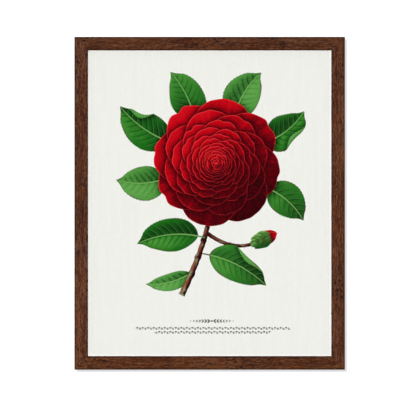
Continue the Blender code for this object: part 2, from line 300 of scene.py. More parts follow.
def curve(start, middle, end, share):
    """Points along a quadratic curve, with the directions along it and to its right there."""
    share = share[:, None]
    points = (1 - share) ** 2 * start + 2 * share * (1 - share) * middle + share ** 2 * end
    way = 2 * (1 - share) * (middle - start) + 2 * share * (end - middle)
    way /= np.linalg.norm(way, axis=1)[:, None]
    return points, way, np.stack((way[:, 1], -way[:, 0]), 1)


# A side shorter than this is left out of an outline
SHORTEST_SIDE = 0.0001 * MM


def distance_to(points, outline):
    """Each point's distance from a closed outline, and whether it lies inside."""
    start, end = outline, np.roll(outline, -1, axis=0)
    side = end - start
    keep = (side ** 2).sum(1) > SHORTEST_SIDE ** 2
    start, end, side = start[keep], end[keep], side[keep]
    gap = points[:, None] - start[None]
    share = np.clip((gap * side).sum(2) / (side ** 2).sum(1), 0, 1)
    away = np.linalg.norm(gap - share[..., None] * side, axis=2).min(1)
    # A level side is never crossed, so its rise only has to differ from 0
    rise = np.where(side[:, 1] == 0, SHORTEST_SIDE, side[:, 1])
    spans = (start[:, 1] > points[:, 1:]) != (end[:, 1] > points[:, 1:])
    crossing = start[:, 0] + (points[:, 1:] - start[:, 1]) * side[:, 0] / rise
    inside = (spans & (points[:, :1] < crossing)).sum(1) % 2 == 1
    return away, inside


def drawn_shade(shape, covers):
    """How deep each point of a shape lies in the drawn shade of the shapes over it, 0 to 1."""
    low, high = shape.points.min(0), shape.points.max(0)
    shade = np.zeros(len(shape.points))
    for cover in covers:
        outline = cover.outline() + SHADE_SHIFT * min(1, shape.reach / FULL_SHIFT_REACH)
        margin = 3 * shape.reach
        if (outline.max(0) < low - margin).any() or (outline.min(0) > high + margin).any():
            continue
        away, inside = distance_to(shape.points, outline)
        depth = np.exp(-(np.where(inside, 0, away) / shape.reach) ** 1.2)
        shade = np.maximum(shade, depth)
    return shade


def drawn_light(slopes):
    """Brightness under the drawn light of a surface that rises by these slopes along x and y."""
    slope_x, slope_y = slopes[:, 0], slopes[:, 1]
    length = np.sqrt(slope_x ** 2 + slope_y ** 2 + 1)
    return (-slope_x * DRAWN_LIGHT[0] - slope_y * DRAWN_LIGHT[1] + DRAWN_LIGHT[2]) / length


def level(share):
    """World y of a printed layer, from its share of the space between sheet and pane."""
    return PAPER_FACE - share * PRINT_SPACE


PETAL_GRID = 20
# A petal's form, as shares of its half width and half length: how much its base narrows, its
# ruffled edge with the waves across it, the widths of its notch and of its crease, and the slope
# at the crease
PETAL_TAPER = 0.42
PETAL_RUFFLE = 0.018
RUFFLE_WAVES = 1.55
NOTCH_WIDTH = 0.16
CREASE_WIDTH = 0.10
CREASE_SLOPE = 0.16


def petal_shape(piece, centre, axis, half_width, half_length, notch, dome, share, reach, rand,
                tilt=0.0):
    """A broad rounded petal, its middle at centre and its tip towards the angle axis.

    notch is how deep its tip is notched, dome the slope that the whole flower has there, and tilt
    how far one side lies deeper than the middle.
    """
    across, along = unit_grid(PETAL_GRID, PETAL_GRID)
    up = 2 * along - 1
    side = across * np.sqrt(1 - up ** 2 / 2)
    run = up * np.sqrt(1 - across ** 2 / 2)
    taper = 1 - PETAL_TAPER * smooth(-run, -0.1, 1.0)
    waves = np.sin(2 * math.pi * RUFFLE_WAVES * side + rand.uniform(0, 6))
    ruffle = PETAL_RUFFLE * waves * smooth(run, 0.2, 1.0)
    notched = notch * bell(side, NOTCH_WIDTH) * smooth(run, 0.6, 1.0)
    x = half_width * side * taper
    y = half_length * (run * (1 + ruffle) - notched)
    way, aside = directions(axis)
    points = centre + x[:, None] * aside + y[:, None] * way
    # The petal rises from its foot, bends down at its sides and tip, and has a crease along its
    # middle
    slope_side = 0.62 * side ** 3 + 0.10 * side + 0.10 * np.sin(2 * math.pi * side) * (1 - along)
    slope_run = -0.55 + 0.95 * smooth(run, -0.2, 1.0)
    crease = -CREASE_SLOPE * bell(side, CREASE_WIDTH) * np.sign(side)
    slopes = -(slope_side + crease)[:, None] * aside - slope_run[:, None] * way + dome
    shape = Shape(piece, PETAL_GRID, PETAL_GRID, points, share - tilt * across, reach)
    return shape.marked(slopes, along=along, across=side, tone=rand.uniform(-1, 1))


BLOOM_CENTRE = np.array((10, 66)) * MM
BLOOM_TURN = math.radians(12)
BLOOM_DOME = 0.75
# The bloom's pieces, of two rings each, and the inner one of all that are left
BLOOM_PIECES = ("petals_outer", "petals_middle", "petals_inner")
RINGS_IN_PIECE = 2
PETAL_COUNTS = (8, 8, 8, 8, 7, 7, 7, 6, 6, 5, 5)
# A ring's petals: how much wider they are than their share of it, at which share of its radius
# that is measured, and their greatest half length, as a share of its radius and of their width
PETAL_OVERLAP = 1.55
PETAL_MIDDLE = 0.74
PETAL_LENGTH = 0.46
PETAL_ROUNDNESS = 1.25
# The heart's petals: each one's half width, half length and distance from the bloom's centre, as
# shares of a radius that shrinks by a ratio from each to the next
HEART_PETALS = 6
HEART_RADIUS = 12.5 * MM
HEART_RATIO = 0.80
HEART_TURN = math.radians(137.5)
HEART_SHARES = (0.78, 0.62, 0.32)


def bloom_shapes():
    """The camellia's petals, ring by ring from the outside in, and those folded round its heart."""
    settings = bpy.context.scene.print_bloom
    rand = random.Random(11)
    shapes = []
    step = (LEVEL_TOP - LEVEL_BLOOM) / (settings.tiers + HEART_PETALS - 1)

    def petal(piece, layer, radius, axis, half_width, half_length, out, order=0, count=1):
        """Adds a petal whose middle lies this far out from the bloom's centre."""
        centre = BLOOM_CENTRE + out * directions(axis)[0]
        dome = -BLOOM_DOME * (centre - BLOOM_CENTRE) / settings.radius
        shape = petal_shape(piece, centre, axis, half_width * rand.uniform(0.94, 1.06), half_length,
                            notch=rand.uniform(0.02, 0.09), dome=dome,
                            share=LEVEL_BLOOM + layer * step, reach=0.10 * radius + 0.8 * MM,
                            rand=rand, tilt=PETAL_TILT)
        shape.layer, shape.order, shape.count = layer, order, count
        shapes.append(shape)

    turn = BLOOM_TURN
    for ring in range(settings.tiers):
        piece = BLOOM_PIECES[min(ring // RINGS_IN_PIECE, len(BLOOM_PIECES) - 1)]
        radius = settings.radius * settings.ratio ** ring
        count = PETAL_COUNTS[min(ring, len(PETAL_COUNTS) - 1)]
        wide = PETAL_OVERLAP * math.pi * PETAL_MIDDLE * radius / count
        long = min(PETAL_LENGTH * radius, PETAL_ROUNDNESS * wide)
        turn += math.pi / count * rand.uniform(0.9, 1.1)
        for i in range(count):
            axis = turn + 2 * math.pi * i / count + rand.uniform(-0.05, 0.05)
            tip = radius * rand.uniform(0.965, 1.02)
            petal(piece, ring, radius, axis, wide, long, tip - long, i, count)
    for i in range(HEART_PETALS):
        radius = HEART_RADIUS * HEART_RATIO ** i
        wide, long, out = (share * radius for share in HEART_SHARES)
        petal(BLOOM_PIECES[-1], settings.tiers + i, radius, turn + HEART_TURN * i, wide, long, out)
    return shapes


def outer_petals():
    """The bloom's outermost ring, which lies over leaves and twig."""
    return [petal for petal in bloom_shapes() if petal.layer == 0]


# Each leaf's base and tip on the sheet, half width and bend in millimetres, then its paleness
# and its layer. A bend above 0 bows the leaf to the left of its way.
LEAVES = {
    "leaf_top_left": ((-22, 122), (-64, 214), 27, -8, 0.10, 1),
    "leaf_upper_left": ((-52, 96), (-146, 158), 29, 9, 0.0, 0),
    "leaf_left": ((-62, 44), (-152, 38), 27, 8, 0.85, 1),
    "leaf_top_right": ((38, 128), (84, 213), 28, 9, 0.80, 0),
    "leaf_upper_right": ((80, 96), (154, 150), 27, -9, 0.05, 1),
    "leaf_right": ((86, 28), (153, -28), 26, 8, 0.15, 0),
    "leaf_lower_left": ((-8, -56), (-118, -66), 26, -10, 0.0, 2),
    "leaf_lower_right": ((-12, -82), (92, -134), 27, 9, 0.20, 2),
    "leaf_young": ((-24, -110), (-104, -132), 13, 7, 1.0, 1),
}
FRONT_LEAVES = ("leaf_lower_left", "leaf_lower_right")
LEAF_COLUMNS = 16
STALK_SHARE = 0.10
STALK_HALF_WIDTH = 1.1 * MM
# Powers by which a blade widens from its base and narrows to its tip, how much the tip is drawn
# out, and how much the edge swings in and out
BLADE_RISE = 0.62
BLADE_FALL = 0.88
BLADE_PEAK = BLADE_RISE / (BLADE_RISE + BLADE_FALL)
DRAWN_TIP = 0.42
EDGE_SWING = 0.035
# Edges that turn over and show their underside: the side, where the turn starts and ends along
# the blade, and how much of the half width it takes
TURNED_EDGES = {
    "leaf_upper_left": (1, 0.50, 0.98, 0.34),
    "leaf_lower_right": (-1, 0.34, 0.90, 0.30),
    "leaf_upper_right": (1, 0.30, 0.84, 0.30),
}
TURNED_COLUMNS = 6


@dataclass
class LeafForm:
    """A leaf's spine on the sheet and its widths, from base to tip."""

    name: str
    base: np.ndarray
    tip: np.ndarray
    half_width: float
    bend: float

    def length(self):
        return math.dist(self.base, self.tip)

    def teeth(self):
        pitch = bpy.context.scene.print_leaves.tooth_pitch
        return round(self.length() * (1 - STALK_SHARE) / pitch)

    def place(self, along, side):
        """Points at a share of the way along the spine and a distance to its right, with the
        directions along it and to its right."""
        left = np.array((self.base[1] - self.tip[1], self.tip[0] - self.base[0])) / self.length()
        middle = (self.base + self.tip) / 2 + 2 * self.bend * left
        spine, way, aside = curve(self.base, middle, self.tip, along)
        return spine + side[:, None] * aside, way, aside

    def half(self, blade, across):
        """Half the width at a share of the blade, widest before its middle, with a drawn-out tip."""
        form = blade ** BLADE_RISE * (1 - blade) ** BLADE_FALL
        form *= 1 - DRAWN_TIP * smooth(blade, 0.82, 0.97)
        form /= BLADE_PEAK ** BLADE_RISE * (1 - BLADE_PEAK) ** BLADE_FALL
        wave = 1 + EDGE_SWING * np.sin(7 * blade + 2 * np.sign(across))
        return STALK_HALF_WIDTH * (1 - 0.7 * blade) + self.half_width * form * wave

    def saw(self, blade):
        """How far the teeth stand out of the edge."""
        depth = bpy.context.scene.print_leaves.tooth_depth
        saw = np.mod(blade * self.teeth(), 1.0) * depth
        return saw * smooth(blade, 0.06, 0.2) * smooth(1 - blade, 0.03, 0.2)

    def turned(self, blade, side):
        """The share of the half width that is turned over on a side."""
        turn_side, start, end, depth = TURNED_EDGES.get(self.name, (0, 0.0, 1.0, 0.0))
        share = np.clip((blade - start) / (end - start), 0, 1)
        return np.where(side == turn_side, depth * np.sin(math.pi * share ** 0.8) ** 1.2, 0)


def leaf_shape(form, pale, share):
    """A serrated leaf with its stalk, from base to tip."""
    rows = 4 * form.teeth() + 8
    across, along = unit_grid(LEAF_COLUMNS, rows)
    blade = np.clip((along - STALK_SHARE) / (1 - STALK_SHARE), 0, 1)
    half = form.half(blade, across)
    turned = form.turned(blade, np.sign(across))
    edge = np.abs(across) ** 8 * form.saw(blade) * (turned < 0.01)
    side = across * half * (1 - turned) + np.sign(across) * edge
    points, way, aside = form.place(along, side)
    # The blade rises to both sides of its midrib, bends down at its edges, and droops from its
    # middle to its base and tip
    fold = -0.42 * np.tanh(side / (3.5 * MM)) + 0.5 * across ** 3
    droop = -0.35 + 0.8 * blade
    slopes = -fold[:, None] * aside - droop[:, None] * way
    shape = Shape(form.name, LEAF_COLUMNS, rows, points, share, LEAF_REACH)
    return shape.marked(slopes, along=blade * form.length(), span=blade, side=side, half=half,
                        pale=pale)


def turned_edge(form, share):
    """The underside of a leaf's edge where it turns over, from the fold inward."""
    turn_side, start, end, _ = TURNED_EDGES[form.name]
    rows = 4 * round((end - start) * form.teeth())
    across, along = unit_grid(TURNED_COLUMNS, rows)
    blade = start + (end - start) * along
    half = form.half(blade, turn_side)
    turned = half * form.turned(blade, turn_side)
    inward = (1 + across) / 2
    width = 0.9 * turned + form.saw(blade) * smooth(turned, 0.0, 2.0 * MM)
    side = half - turned - inward * width
    points, way, aside = form.place(STALK_SHARE + (1 - STALK_SHARE) * blade, turn_side * side)
    slopes = turn_side * (0.9 * inward - 0.5)[:, None] * aside + 0.1 * way
    shape = Shape(form.name, TURNED_COLUMNS, rows, points, share, TURNED_REACH)
    return shape.marked(slopes, along=blade * form.length(), span=blade, side=turn_side * half,
                        half=half, pale=1.0)


def leaf_shapes():
    """Each leaf, followed by its turned edge where it has one."""
    shapes = []
    for name, (base, tip, half_width, bend, pale, layer) in LEAVES.items():
        bottom = LEVEL_FRONT_LEAVES if name in FRONT_LEAVES else LEVEL_BACK_LEAVES
        order = FRONT_LEAVES.index(name) if name in FRONT_LEAVES else layer
        form = LeafForm(name, np.array(base) * MM, np.array(tip) * MM, half_width * MM, bend * MM)
        share = bottom + order * LEVEL_LEAF_STEP
        shapes.append(leaf_shape(form, pale, share))
        if name in TURNED_EDGES:
            shapes.append(turned_edge(form, share + LEVEL_LEAF_STEP / 2))
    return shapes


# The twig from behind the bloom to its cut end, and the side shoot to the bud, in millimetres
TWIG = ((4, 0), (-6, -70), (-46, -150))
SHOOT = ((-5, -48), (34, -78), (70, -66))
TWIG_GRID = (8, 90)
TWIG_KNOTS = (0.42, 0.60, 0.78)
SHOOT_KNOTS = (0.5,)
# Half widths at the upper end as shares of those at the lower, and the shoot's to the twig's
TWIG_TAPER = 0.66
SHOOT_TAPER = 1.25
SHOOT_SHARE = 0.52
# How much a knot swells the twig, and how far it and its dark ring go along it, as shares of it
KNOT_SWELL = 0.24
KNOT_LENGTH = 0.018
RING_LENGTH = 0.012


def twig_shape(path, half_width, taper, knots, share):
    """A tapering twig along a quadratic curve, swollen at its knots."""
    across, along = unit_grid(*TWIG_GRID)
    start, middle, end = (np.array(point) * MM for point in path)
    spine, _, aside = curve(start, middle, end, along)
    half = half_width * (taper + (1 - taper) * along)
    for knot in knots:
        half = half * (1 + KNOT_SWELL * bell(along - knot, KNOT_LENGTH))
    rough = 0.05 * np.sin(61 * along + 2 * np.sign(across)) + 0.04 * np.sin(133 * along + 1)
    side = across * half * (1 + rough * across ** 2)
    points = spine + side[:, None] * aside
    # Rounded like a bar, but short of upright at its edges
    slopes = -(1.35 * across / np.sqrt(1.15 - across ** 2))[:, None] * aside
    length = np.linalg.norm(end - start)
    shape = Shape("twig", *TWIG_GRID, points, share, TWIG_REACH)
    return shape.marked(slopes, along=along * length, left=(1 - along) * length, side=side,
                        ring=sum(bell(along - knot, RING_LENGTH) for knot in knots))


def twig_shapes():
    """The side shoot, and the twig over it."""
    half = bpy.context.scene.print_stem.half_width
    return [twig_shape(SHOOT, SHOOT_SHARE * half, SHOOT_TAPER, SHOOT_KNOTS, LEVEL_TWIG),
            twig_shape(TWIG, half, TWIG_TAPER, TWIG_KNOTS, LEVEL_TWIG + LEVEL_LEAF_STEP)]


BUD_BASE = np.array((66, -68)) * MM
BUD_WAY = math.radians(24)
# The bud's crimson petals and its scales, from the hindmost: how far along its axis each one's
# middle lies, how far to the side, its half width and half length, as shares of the bud's length
BUD_PETALS = ((0.66, -0.08, 0.16, 0.32), (0.65, 0.09, 0.16, 0.31), (0.69, 0.01, 0.15, 0.31))
BUD_SCALES = ((0.50, -0.15, 0.15, 0.27), (0.49, 0.16, 0.15, 0.26), (0.47, 0.01, 0.18, 0.27),
              (0.32, -0.13, 0.14, 0.22), (0.31, 0.13, 0.14, 0.22), (0.26, 0.0, 0.15, 0.20),
              (0.15, -0.06, 0.09, 0.13), (0.14, 0.06, 0.09, 0.12))
# How far they lean out to the sides and slope down there, and the notch in their tips, which is
# below 0 and so a point
BUD_LEAN = 1.6
BUD_DOME = 3.0
SCALE_POINT = -0.12


def bud_shapes():
    """A swelling bud: green scales round a crimson tip."""
    length = bpy.context.scene.print_stem.bud_length
    rand = random.Random(5)
    way, aside = directions(BUD_WAY)
    shapes = []
    for i, (along, side, wide, long) in enumerate(BUD_PETALS + BUD_SCALES):
        shapes.append(petal_shape(
            "bud_petals" if i < len(BUD_PETALS) else "bud_scales",
            BUD_BASE + length * (along * way + side * aside), BUD_WAY + BUD_LEAN * side,
            wide * length, long * length, notch=SCALE_POINT, dome=-BUD_DOME * side * aside,
            share=LEVEL_BUD + i * LEVEL_BUD_STEP, reach=BUD_REACH, rand=rand))
    return shapes


def over(shape, others):
    """The shapes that are printed over this one."""
    return [other for other in others
            if other is not shape and np.min(other.height) > np.max(shape.height) - LEVEL_SLACK]


def petal_covers(petal, petals):
    """The next two rings, the near heart, and the neighbour that laps over this petal in its ring."""
    return [p for p in petals
            if 0 < p.layer - petal.layer <= (2 if p.count > 1 else HEART_PETALS)
            or (p.layer == petal.layer and petal.count > 1
                and p.order == (petal.order - 1) % petal.count)]


def add_shade(shapes, covers_of):
    """Marks each shape with the drawn shade of those that a function gives for it."""
    for shape in shapes:
        shape.marks["shade"] = drawn_shade(shape, covers_of(shape))


# Making the printed pieces

def deselect_all():
    if bpy.context.object and bpy.context.object.mode != "OBJECT":
        bpy.ops.object.mode_set(mode="OBJECT")
    bpy.ops.object.select_all(action="DESELECT")


def apply_place():
    bpy.ops.object.transform_apply(location=True, rotation=True, scale=True)


def let_light_pass(ob):
    """Stops an object from throwing shadow or colour on others."""
    ob.visible_shadow = False
    ob.visible_diffuse = False


def join(objects, name):
    """Joins objects into one, under a new name."""
    deselect_all()
    for ob in objects:
        ob.select_set(True)
    bpy.context.view_layer.objects.active = objects[0]
    if len(objects) > 1:
        bpy.ops.object.join()
    joined = bpy.context.view_layer.objects.active
    joined.name = joined.data.name = name
    return joined


def print_shape(shape):
    """A grid primitive with the shape's points, facing the front, and its marks as attributes."""
    deselect_all()
    bpy.ops.mesh.primitive_grid_add(x_subdivisions=shape.columns, y_subdivisions=shape.rows,
                                    size=2, location=(0, 0, 0))
    ob = bpy.context.active_object
    count = len(shape.points)
    places = np.stack((CENTRE_X + shape.points[:, 0], level(np.broadcast_to(shape.height, count)),
                       CENTRE_Z + shape.points[:, 1]), 1)
    ob.data.vertices.foreach_set("co", places.astype(np.float32).ravel())
    for name, values in shape.marks.items():
        mark = ob.data.attributes.new(name, "FLOAT", "POINT")
        mark.data.foreach_set("value", np.broadcast_to(values, count).astype(np.float32))
    ob.data.update()
    return ob


def finish_piece(name, parts, ink):
    """Joins a printed piece's parts, in one ink, and lets it ride on the frame."""
    piece = join(parts, "printed_" + name)
    piece.data.materials.clear()
    piece.data.materials.append(ink)
    let_light_pass(piece)
    deselect_all()
    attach(piece, BODY)


def print_piece(name, shapes, ink):
    """Prints those of the shapes that belong to a piece."""
    finish_piece(name, [print_shape(shape) for shape in shapes if shape.piece == name], ink)


# Nodes

class Output:
    """A node's first output, or another one as [name]. It can be reckoned with as a number."""

    def __init__(self, node, name=0):
        self.node = node
        self.name = name

    def __getitem__(self, name):
        return Output(self.node, name)

    def __add__(self, other):
        return calc("ADD", self, other)

    def __radd__(self, other):
        return calc("ADD", other, self)

    def __sub__(self, other):
        return calc("SUBTRACT", self, other)

    def __rsub__(self, other):
        return calc("SUBTRACT", other, self)

    def __mul__(self, other):
        return calc("MULTIPLY", self, other)

    def __rmul__(self, other):
        return calc("MULTIPLY", other, self)

    def __truediv__(self, other):
        return calc("DIVIDE", self, other)

    def __abs__(self):
        return calc("ABSOLUTE", self)


def fill(node, inputs):
    """Gives a node's inputs, by name or number, their values, or links outputs to them."""
    for name, value in inputs.items():
        if isinstance(value, Output):
            node.id_data.links.new(value.node.outputs[value.name], node.inputs[name])
        else:
            node.inputs[name].default_value = value


def add(kind, inputs=None, tree=None, **settings):
    """Adds a shader node, in the tree that its inputs come from or in the one given."""
    inputs = inputs or {}
    tree = tree or next(v.node.id_data for v in inputs.values() if isinstance(v, Output))
    node = tree.nodes.new("ShaderNode" + kind)
    for name, value in settings.items():
        setattr(node, name, value)
    fill(node, inputs)
    return Output(node)


def calc(operation, *values, clamp=False):
    """A Math node's result."""
    return add("Math", dict(enumerate(values)), operation=operation, use_clamp=clamp)


def remap(value, low, high, to_low=0.0, to_high=1.0, kind="SMOOTHSTEP"):
    """A value carried from one range to another."""
    return add("MapRange", {"Value": value, "From Min": low, "From Max": high, "To Min": to_low,
                            "To Max": to_high}, interpolation_type=kind)


def fade(value, low, high, full=1.0):
    """Full at low and below, and down to 0 at high."""
    return remap(value, low, high, full, 0.0)


def opaque(colour):
    """A colour with its alpha. An output stays as it is."""
    return colour if isinstance(colour, Output) else (*colour, 1.0)


def scaled(colour, share):
    """A colour made darker or lighter, as far as white."""
    return tuple(min(1.0, share * part) for part in colour)


def mix(factor, first, second, kind="MIX"):
    """A Mix node's colour."""
    return add("Mix", {0: factor, 6: opaque(first), 7: opaque(second)}, data_type="RGBA",
               blend_type=kind, clamp_factor=True)[2]


def ramp(value, *stops):
    """A colour ramp's colour, from stops of (place, colour)."""
    colour = add("ValToRGB", {"Fac": value})
    elements = colour.node.color_ramp.elements
    while len(elements) < len(stops):
        elements.new(1.0)
    for element, (place, stop) in zip(elements, stops, strict=True):
        element.position = place
        element.color = opaque(stop)
    return colour


def noise(vector, scale, detail=2.0, roughness=0.5, distortion=0.0):
    return add("TexNoise", {"Vector": vector, "Scale": scale, "Detail": detail,
                            "Roughness": roughness, "Distortion": distortion})


def cells(vector, scale=1.0, randomness=1.0):
    """Distance from the nearest of scattered points, and each one's own colour as [Color]."""
    return add("TexVoronoi", {"Vector": vector, "Scale": scale, "Randomness": randomness})


def stretched(vector, scale=(1, 1, 1), location=(0, 0, 0), rotation=(0, 0, 0)):
    return add("Mapping", {"Vector": vector, "Scale": scale, "Location": location,
                           "Rotation": rotation})


def vector_of(x, y, z=0.0):
    return add("CombineXYZ", {"X": x, "Y": y, "Z": z})


def red_of(colour):
    """A colour's red. That of a cell's random colour is a random number for the cell."""
    return add("SeparateColor", {"Color": colour})


def bump(height, distance, strength):
    """A normal from a height."""
    return add("Bump", {"Height": height, "Distance": distance, "Strength": strength})


def object_place(tree):
    return add("TexCoord", tree=tree)["Object"]


def marks(tree, *names):
    """A printed shape's own values."""
    return [add("Attribute", tree=tree, attribute_name=name)["Fac"] for name in names]


def new_group(name, inputs, outputs):
    """A shader node group with named sockets, what comes into it and the node that it leaves by."""
    group = bpy.data.node_groups.new(name, "ShaderNodeTree")
    for direction, sockets in (("INPUT", inputs), ("OUTPUT", outputs)):
        for label, kind, value in sockets:
            socket = group.interface.new_socket(label, in_out=direction,
                                                socket_type="NodeSocket" + kind)
            if value is not None:
                socket.default_value = value
    return group, Output(group.nodes.new("NodeGroupInput")), group.nodes.new("NodeGroupOutput")


def use_group(build, inputs):
    """Places the node group that a function builds, which is built once and named after it."""
    name = build.__name__.replace("_", " ")
    return add("Group", inputs, node_tree=bpy.data.node_groups.get(name) or build(name))


def new_material(name, roughness=0.6, metallic=0.0, specular=0.5):
    """A material with its node tree and its Principled shader."""
    material = bpy.data.materials.new(name)
    material.use_nodes = True
    shader = material.node_tree.nodes["Principled BSDF"]
    fill(shader, {"Roughness": roughness, "Metallic": metallic, "Specular IOR Level": specular})
    return material, material.node_tree, shader


def wear(node, material):
    """Gives a CAD node's object a material in place of its own."""
    ob = frame["nodes"][node]
    ob.data.materials.clear()
    ob.data.materials.append(material)


# Inks

INK_ROUGHNESS = 0.75
INK_SPECULAR = 0.02


def new_ink(name):
    return new_material(name, INK_ROUGHNESS, specular=INK_SPECULAR)


def ink_tone(name):
    """An ink's tone from drawn light and shade, uneven as from a stone and dotted in its darks."""
    group, ins, outs = new_group(
        name,
        [("Vector", "Vector", None), ("Light", "Float", 1.0), ("Low light", "Float", 0.05),
         ("Shade", "Float", 0.0), ("Depth", "Float", 0.86), ("Grain", "Float", 0.1),
         ("Mottle", "Float", 0.16), ("Stipple", "Float", 0.25)],
        [("Tone", "Float", None), ("Grain", "Float", None)])
    place = ins["Vector"]
    light = remap(ins["Light"], ins["Low light"], 1.0, kind="LINEAR")
    tone = light * (1.0 - ins["Shade"] * ins["Depth"])
    grain = noise(place, 1300, 1.0) + cells(place, 900) - 0.95
    mottle = noise(place, 85, 3.0, 0.6) - 0.5
    dots = (cells(place, 520) - 0.45) * remap(tone, 0.25, 0.75, 1.0, 0.15)
    tone = tone + grain * ins["Grain"] + mottle * ins["Mottle"] + dots * ins["Stipple"]
    fill(outs, {"Tone": tone, "Grain": grain})
    return group


def printed_tone(tree, low_light, depth, grain=0.10, mottle=0.16, stipple=0.25):
    """The tone of a printed shape, from its drawn light and shade."""
    light, shade = marks(tree, "light", "shade")
    return use_group(ink_tone, {
        "Vector": object_place(tree), "Light": light, "Low light": low_light, "Shade": shade,
        "Depth": depth, "Grain": grain, "Mottle": mottle, "Stipple": stipple})["Tone"]


def petal_ink(name):
    """Crimson ink: dark in the folds, streaked along the petal, with a thin bright rim."""
    colours = bpy.context.scene.print_bloom
    material, tree, shader = new_ink(name)
    along, across, own_tone, edge = marks(tree, "along", "across", "tone", "rim")
    streak = noise(vector_of(20.0 * across, 1.4 * along, 40.0 * own_tone), 1.0, 4.0, 0.65) - 0.5
    rim = fade(edge, 0.3 * MM, 1.9 * MM)
    tone = printed_tone(tree, 0.05, 0.90, mottle=0.18, stipple=0.30)
    tone = tone + 0.50 * streak + 0.04 * own_tone + 0.20 * rim
    colour = ramp(tone, (0.0, colours.shade), (0.27, colours.deep), (0.60, colours.petal),
                  (0.95, colours.lit))
    bright = rim * remap(tone, 0.35, 1.0, 0.08, 0.42)
    fill(shader, {"Base Color": mix(bright, colour, colours.rim)})
    return material


def vein_masks(side, half, span, along, pitch):
    """A leaf's side veins, the furrow behind each, its midrib and the midrib's bed."""
    away = abs(side)
    reach = away / calc("MAXIMUM", half, 0.5 * MM)
    lean = along - away * (0.62 + 0.35 * reach)
    shifted = lean + 0.27 * pitch * calc("SIGN", side)
    behind = pitch * calc("FRACT", shifted / pitch)
    veins = fade(abs(behind - 1.2 * MM), 0.25 * MM, 0.9 * MM)
    veins = veins * fade(reach, 0.55, 0.98) * fade(span, 0.86, 0.98)
    furrow = fade(behind, 1.2 * MM, 7.5 * MM) * remap(behind, 0.2 * MM, 1.3 * MM)
    furrow = furrow * fade(reach, 0.35, 0.95)
    past_rib = away - remap(span, 0.0, 1.0, 0.95 * MM, 0.3 * MM, "LINEAR")
    return veins, furrow, fade(past_rib, 0.0, 0.5 * MM), fade(past_rib, 0.0, 4.5 * MM)


def leaf_ink():
    """Green ink with a pale midrib, curved side veins and a darker side to each vein."""
    colours = bpy.context.scene.print_leaves
    material, tree, shader = new_ink("leaf ink")
    side, half, span, along, rim, pale = marks(tree, "side", "half", "span", "along", "rim", "pale")
    veins, furrow, midrib, bed = vein_masks(side, half, span, along, colours.vein_pitch)
    tone = printed_tone(tree, 0.15, 0.92, mottle=0.30, stipple=0.30) - 0.30 * furrow - 0.16 * bed
    green = ramp(tone, (0.0, colours.shade), (0.28, colours.deep), (0.62, colours.leaf),
                 (0.98, colours.lit))
    light_green = ramp(tone, (0.0, colours.deep), (0.22, srgb(52, 112, 44)),
                       (0.55, srgb(84, 152, 66)), (0.98, colours.pale))
    colour = mix(pale, green, light_green)
    colour = mix(0.42 * veins, colour, mix(pale, srgb(96, 158, 76), srgb(70, 118, 50)))
    colour = mix(0.85 * midrib, colour, srgb(120, 172, 92))
    colour = mix(fade(rim, 0.2 * MM, 1.3 * MM, 0.5), colour, srgb(38, 92, 30))
    tinged = remap(noise(object_place(tree), 42), 0.48, 0.66, 0.0, 0.8)
    colour = mix(tinged * fade(rim, 0.3 * MM, 3.0 * MM), colour, colours.rust)
    fill(shader, {"Base Color": colour})
    return material


def bark_ink():
    """Brown ink, striped along the twig, with grey-green patches, dark rings and a pale cut end."""
    colours = bpy.context.scene.print_stem
    material, tree, shader = new_ink("bark ink")
    along, left, side, ring, rim = marks(tree, "along", "left", "side", "ring", "rim")
    bark = vector_of(420.0 * side, 150.0 * along)
    stripes = noise(bark, 1.0, 3.0, 0.6) - 0.5
    tone = printed_tone(tree, -0.1, 0.8, grain=0.15, mottle=0.2) + 0.60 * stripes - 0.40 * ring
    brown = ramp(tone, (0.05, colours.bark_shade), (0.5, colours.bark), (0.95, srgb(140, 84, 58)))
    patches = remap(noise(bark, 0.42), 0.53, 0.63) * remap(tone, 0.25, 0.6)
    colour = mix(0.8 * patches, brown, colours.bark_pale)
    colour = mix(fade(rim, 0.2 * MM, 1.0 * MM, 0.7), colour, colours.bark_shade)
    bowed = left + side * side / (11 * MM)
    pith = fade(abs(bowed - 1.6 * MM), 0.2 * MM, 0.6 * MM, 0.4)
    wood = mix(pith, colours.bark_pale, srgb(110, 92, 58))
    fill(shader, {"Base Color": mix(fade(bowed, 2.9 * MM, 3.2 * MM, 0.9), colour, wood)})
    return material


def scale_ink():
    """Green ink of the bud's scales, brownish at their tips."""
    colours = bpy.context.scene.print_leaves
    material, tree, shader = new_ink("bud scale ink")
    along, rim = marks(tree, "along", "rim")
    tone = printed_tone(tree, 0.2, 0.95, grain=0.12) + fade(rim, 0.3 * MM, 1.2 * MM, 0.22)
    colour = ramp(tone, (0.0, colours.deep), (0.35, srgb(50, 108, 42)), (0.72, srgb(104, 156, 74)),
                  (1.0, srgb(150, 188, 108)))
    fill(shader, {"Base Color": mix(0.5 * remap(along, 0.72, 1.0), colour, colours.rust)})
    return material


def ornament_ink():
    """Grey-black ink of the ornament, slightly starved."""
    material, tree, shader = new_ink("ornament ink")
    grain = use_group(ink_tone, {"Vector": object_place(tree)})["Grain"]
    worn = remap(grain, 0.05, 0.4, 0.0, 0.3)
    colour = mix(worn, bpy.context.scene.print_paper.ink, srgb(120, 122, 114))
    fill(shader, {"Base Color": colour})
    return material


# Pieces on the sheet

class PRINT_OT_leaves(bpy.types.Operator):
    """Print the nine leaves, each a piece of its own"""

    bl_idname = "print_art.leaves"
    bl_label = "Print leaves"

    def execute(self, context):
        leaves = leaf_shapes()
        above = outer_petals() + leaves + twig_shapes() + bud_shapes()
        add_shade(leaves, lambda leaf: over(leaf, above))
        ink = leaf_ink()
        for name in LEAVES:
            print_piece(name, leaves, ink)
        return {"FINISHED"}


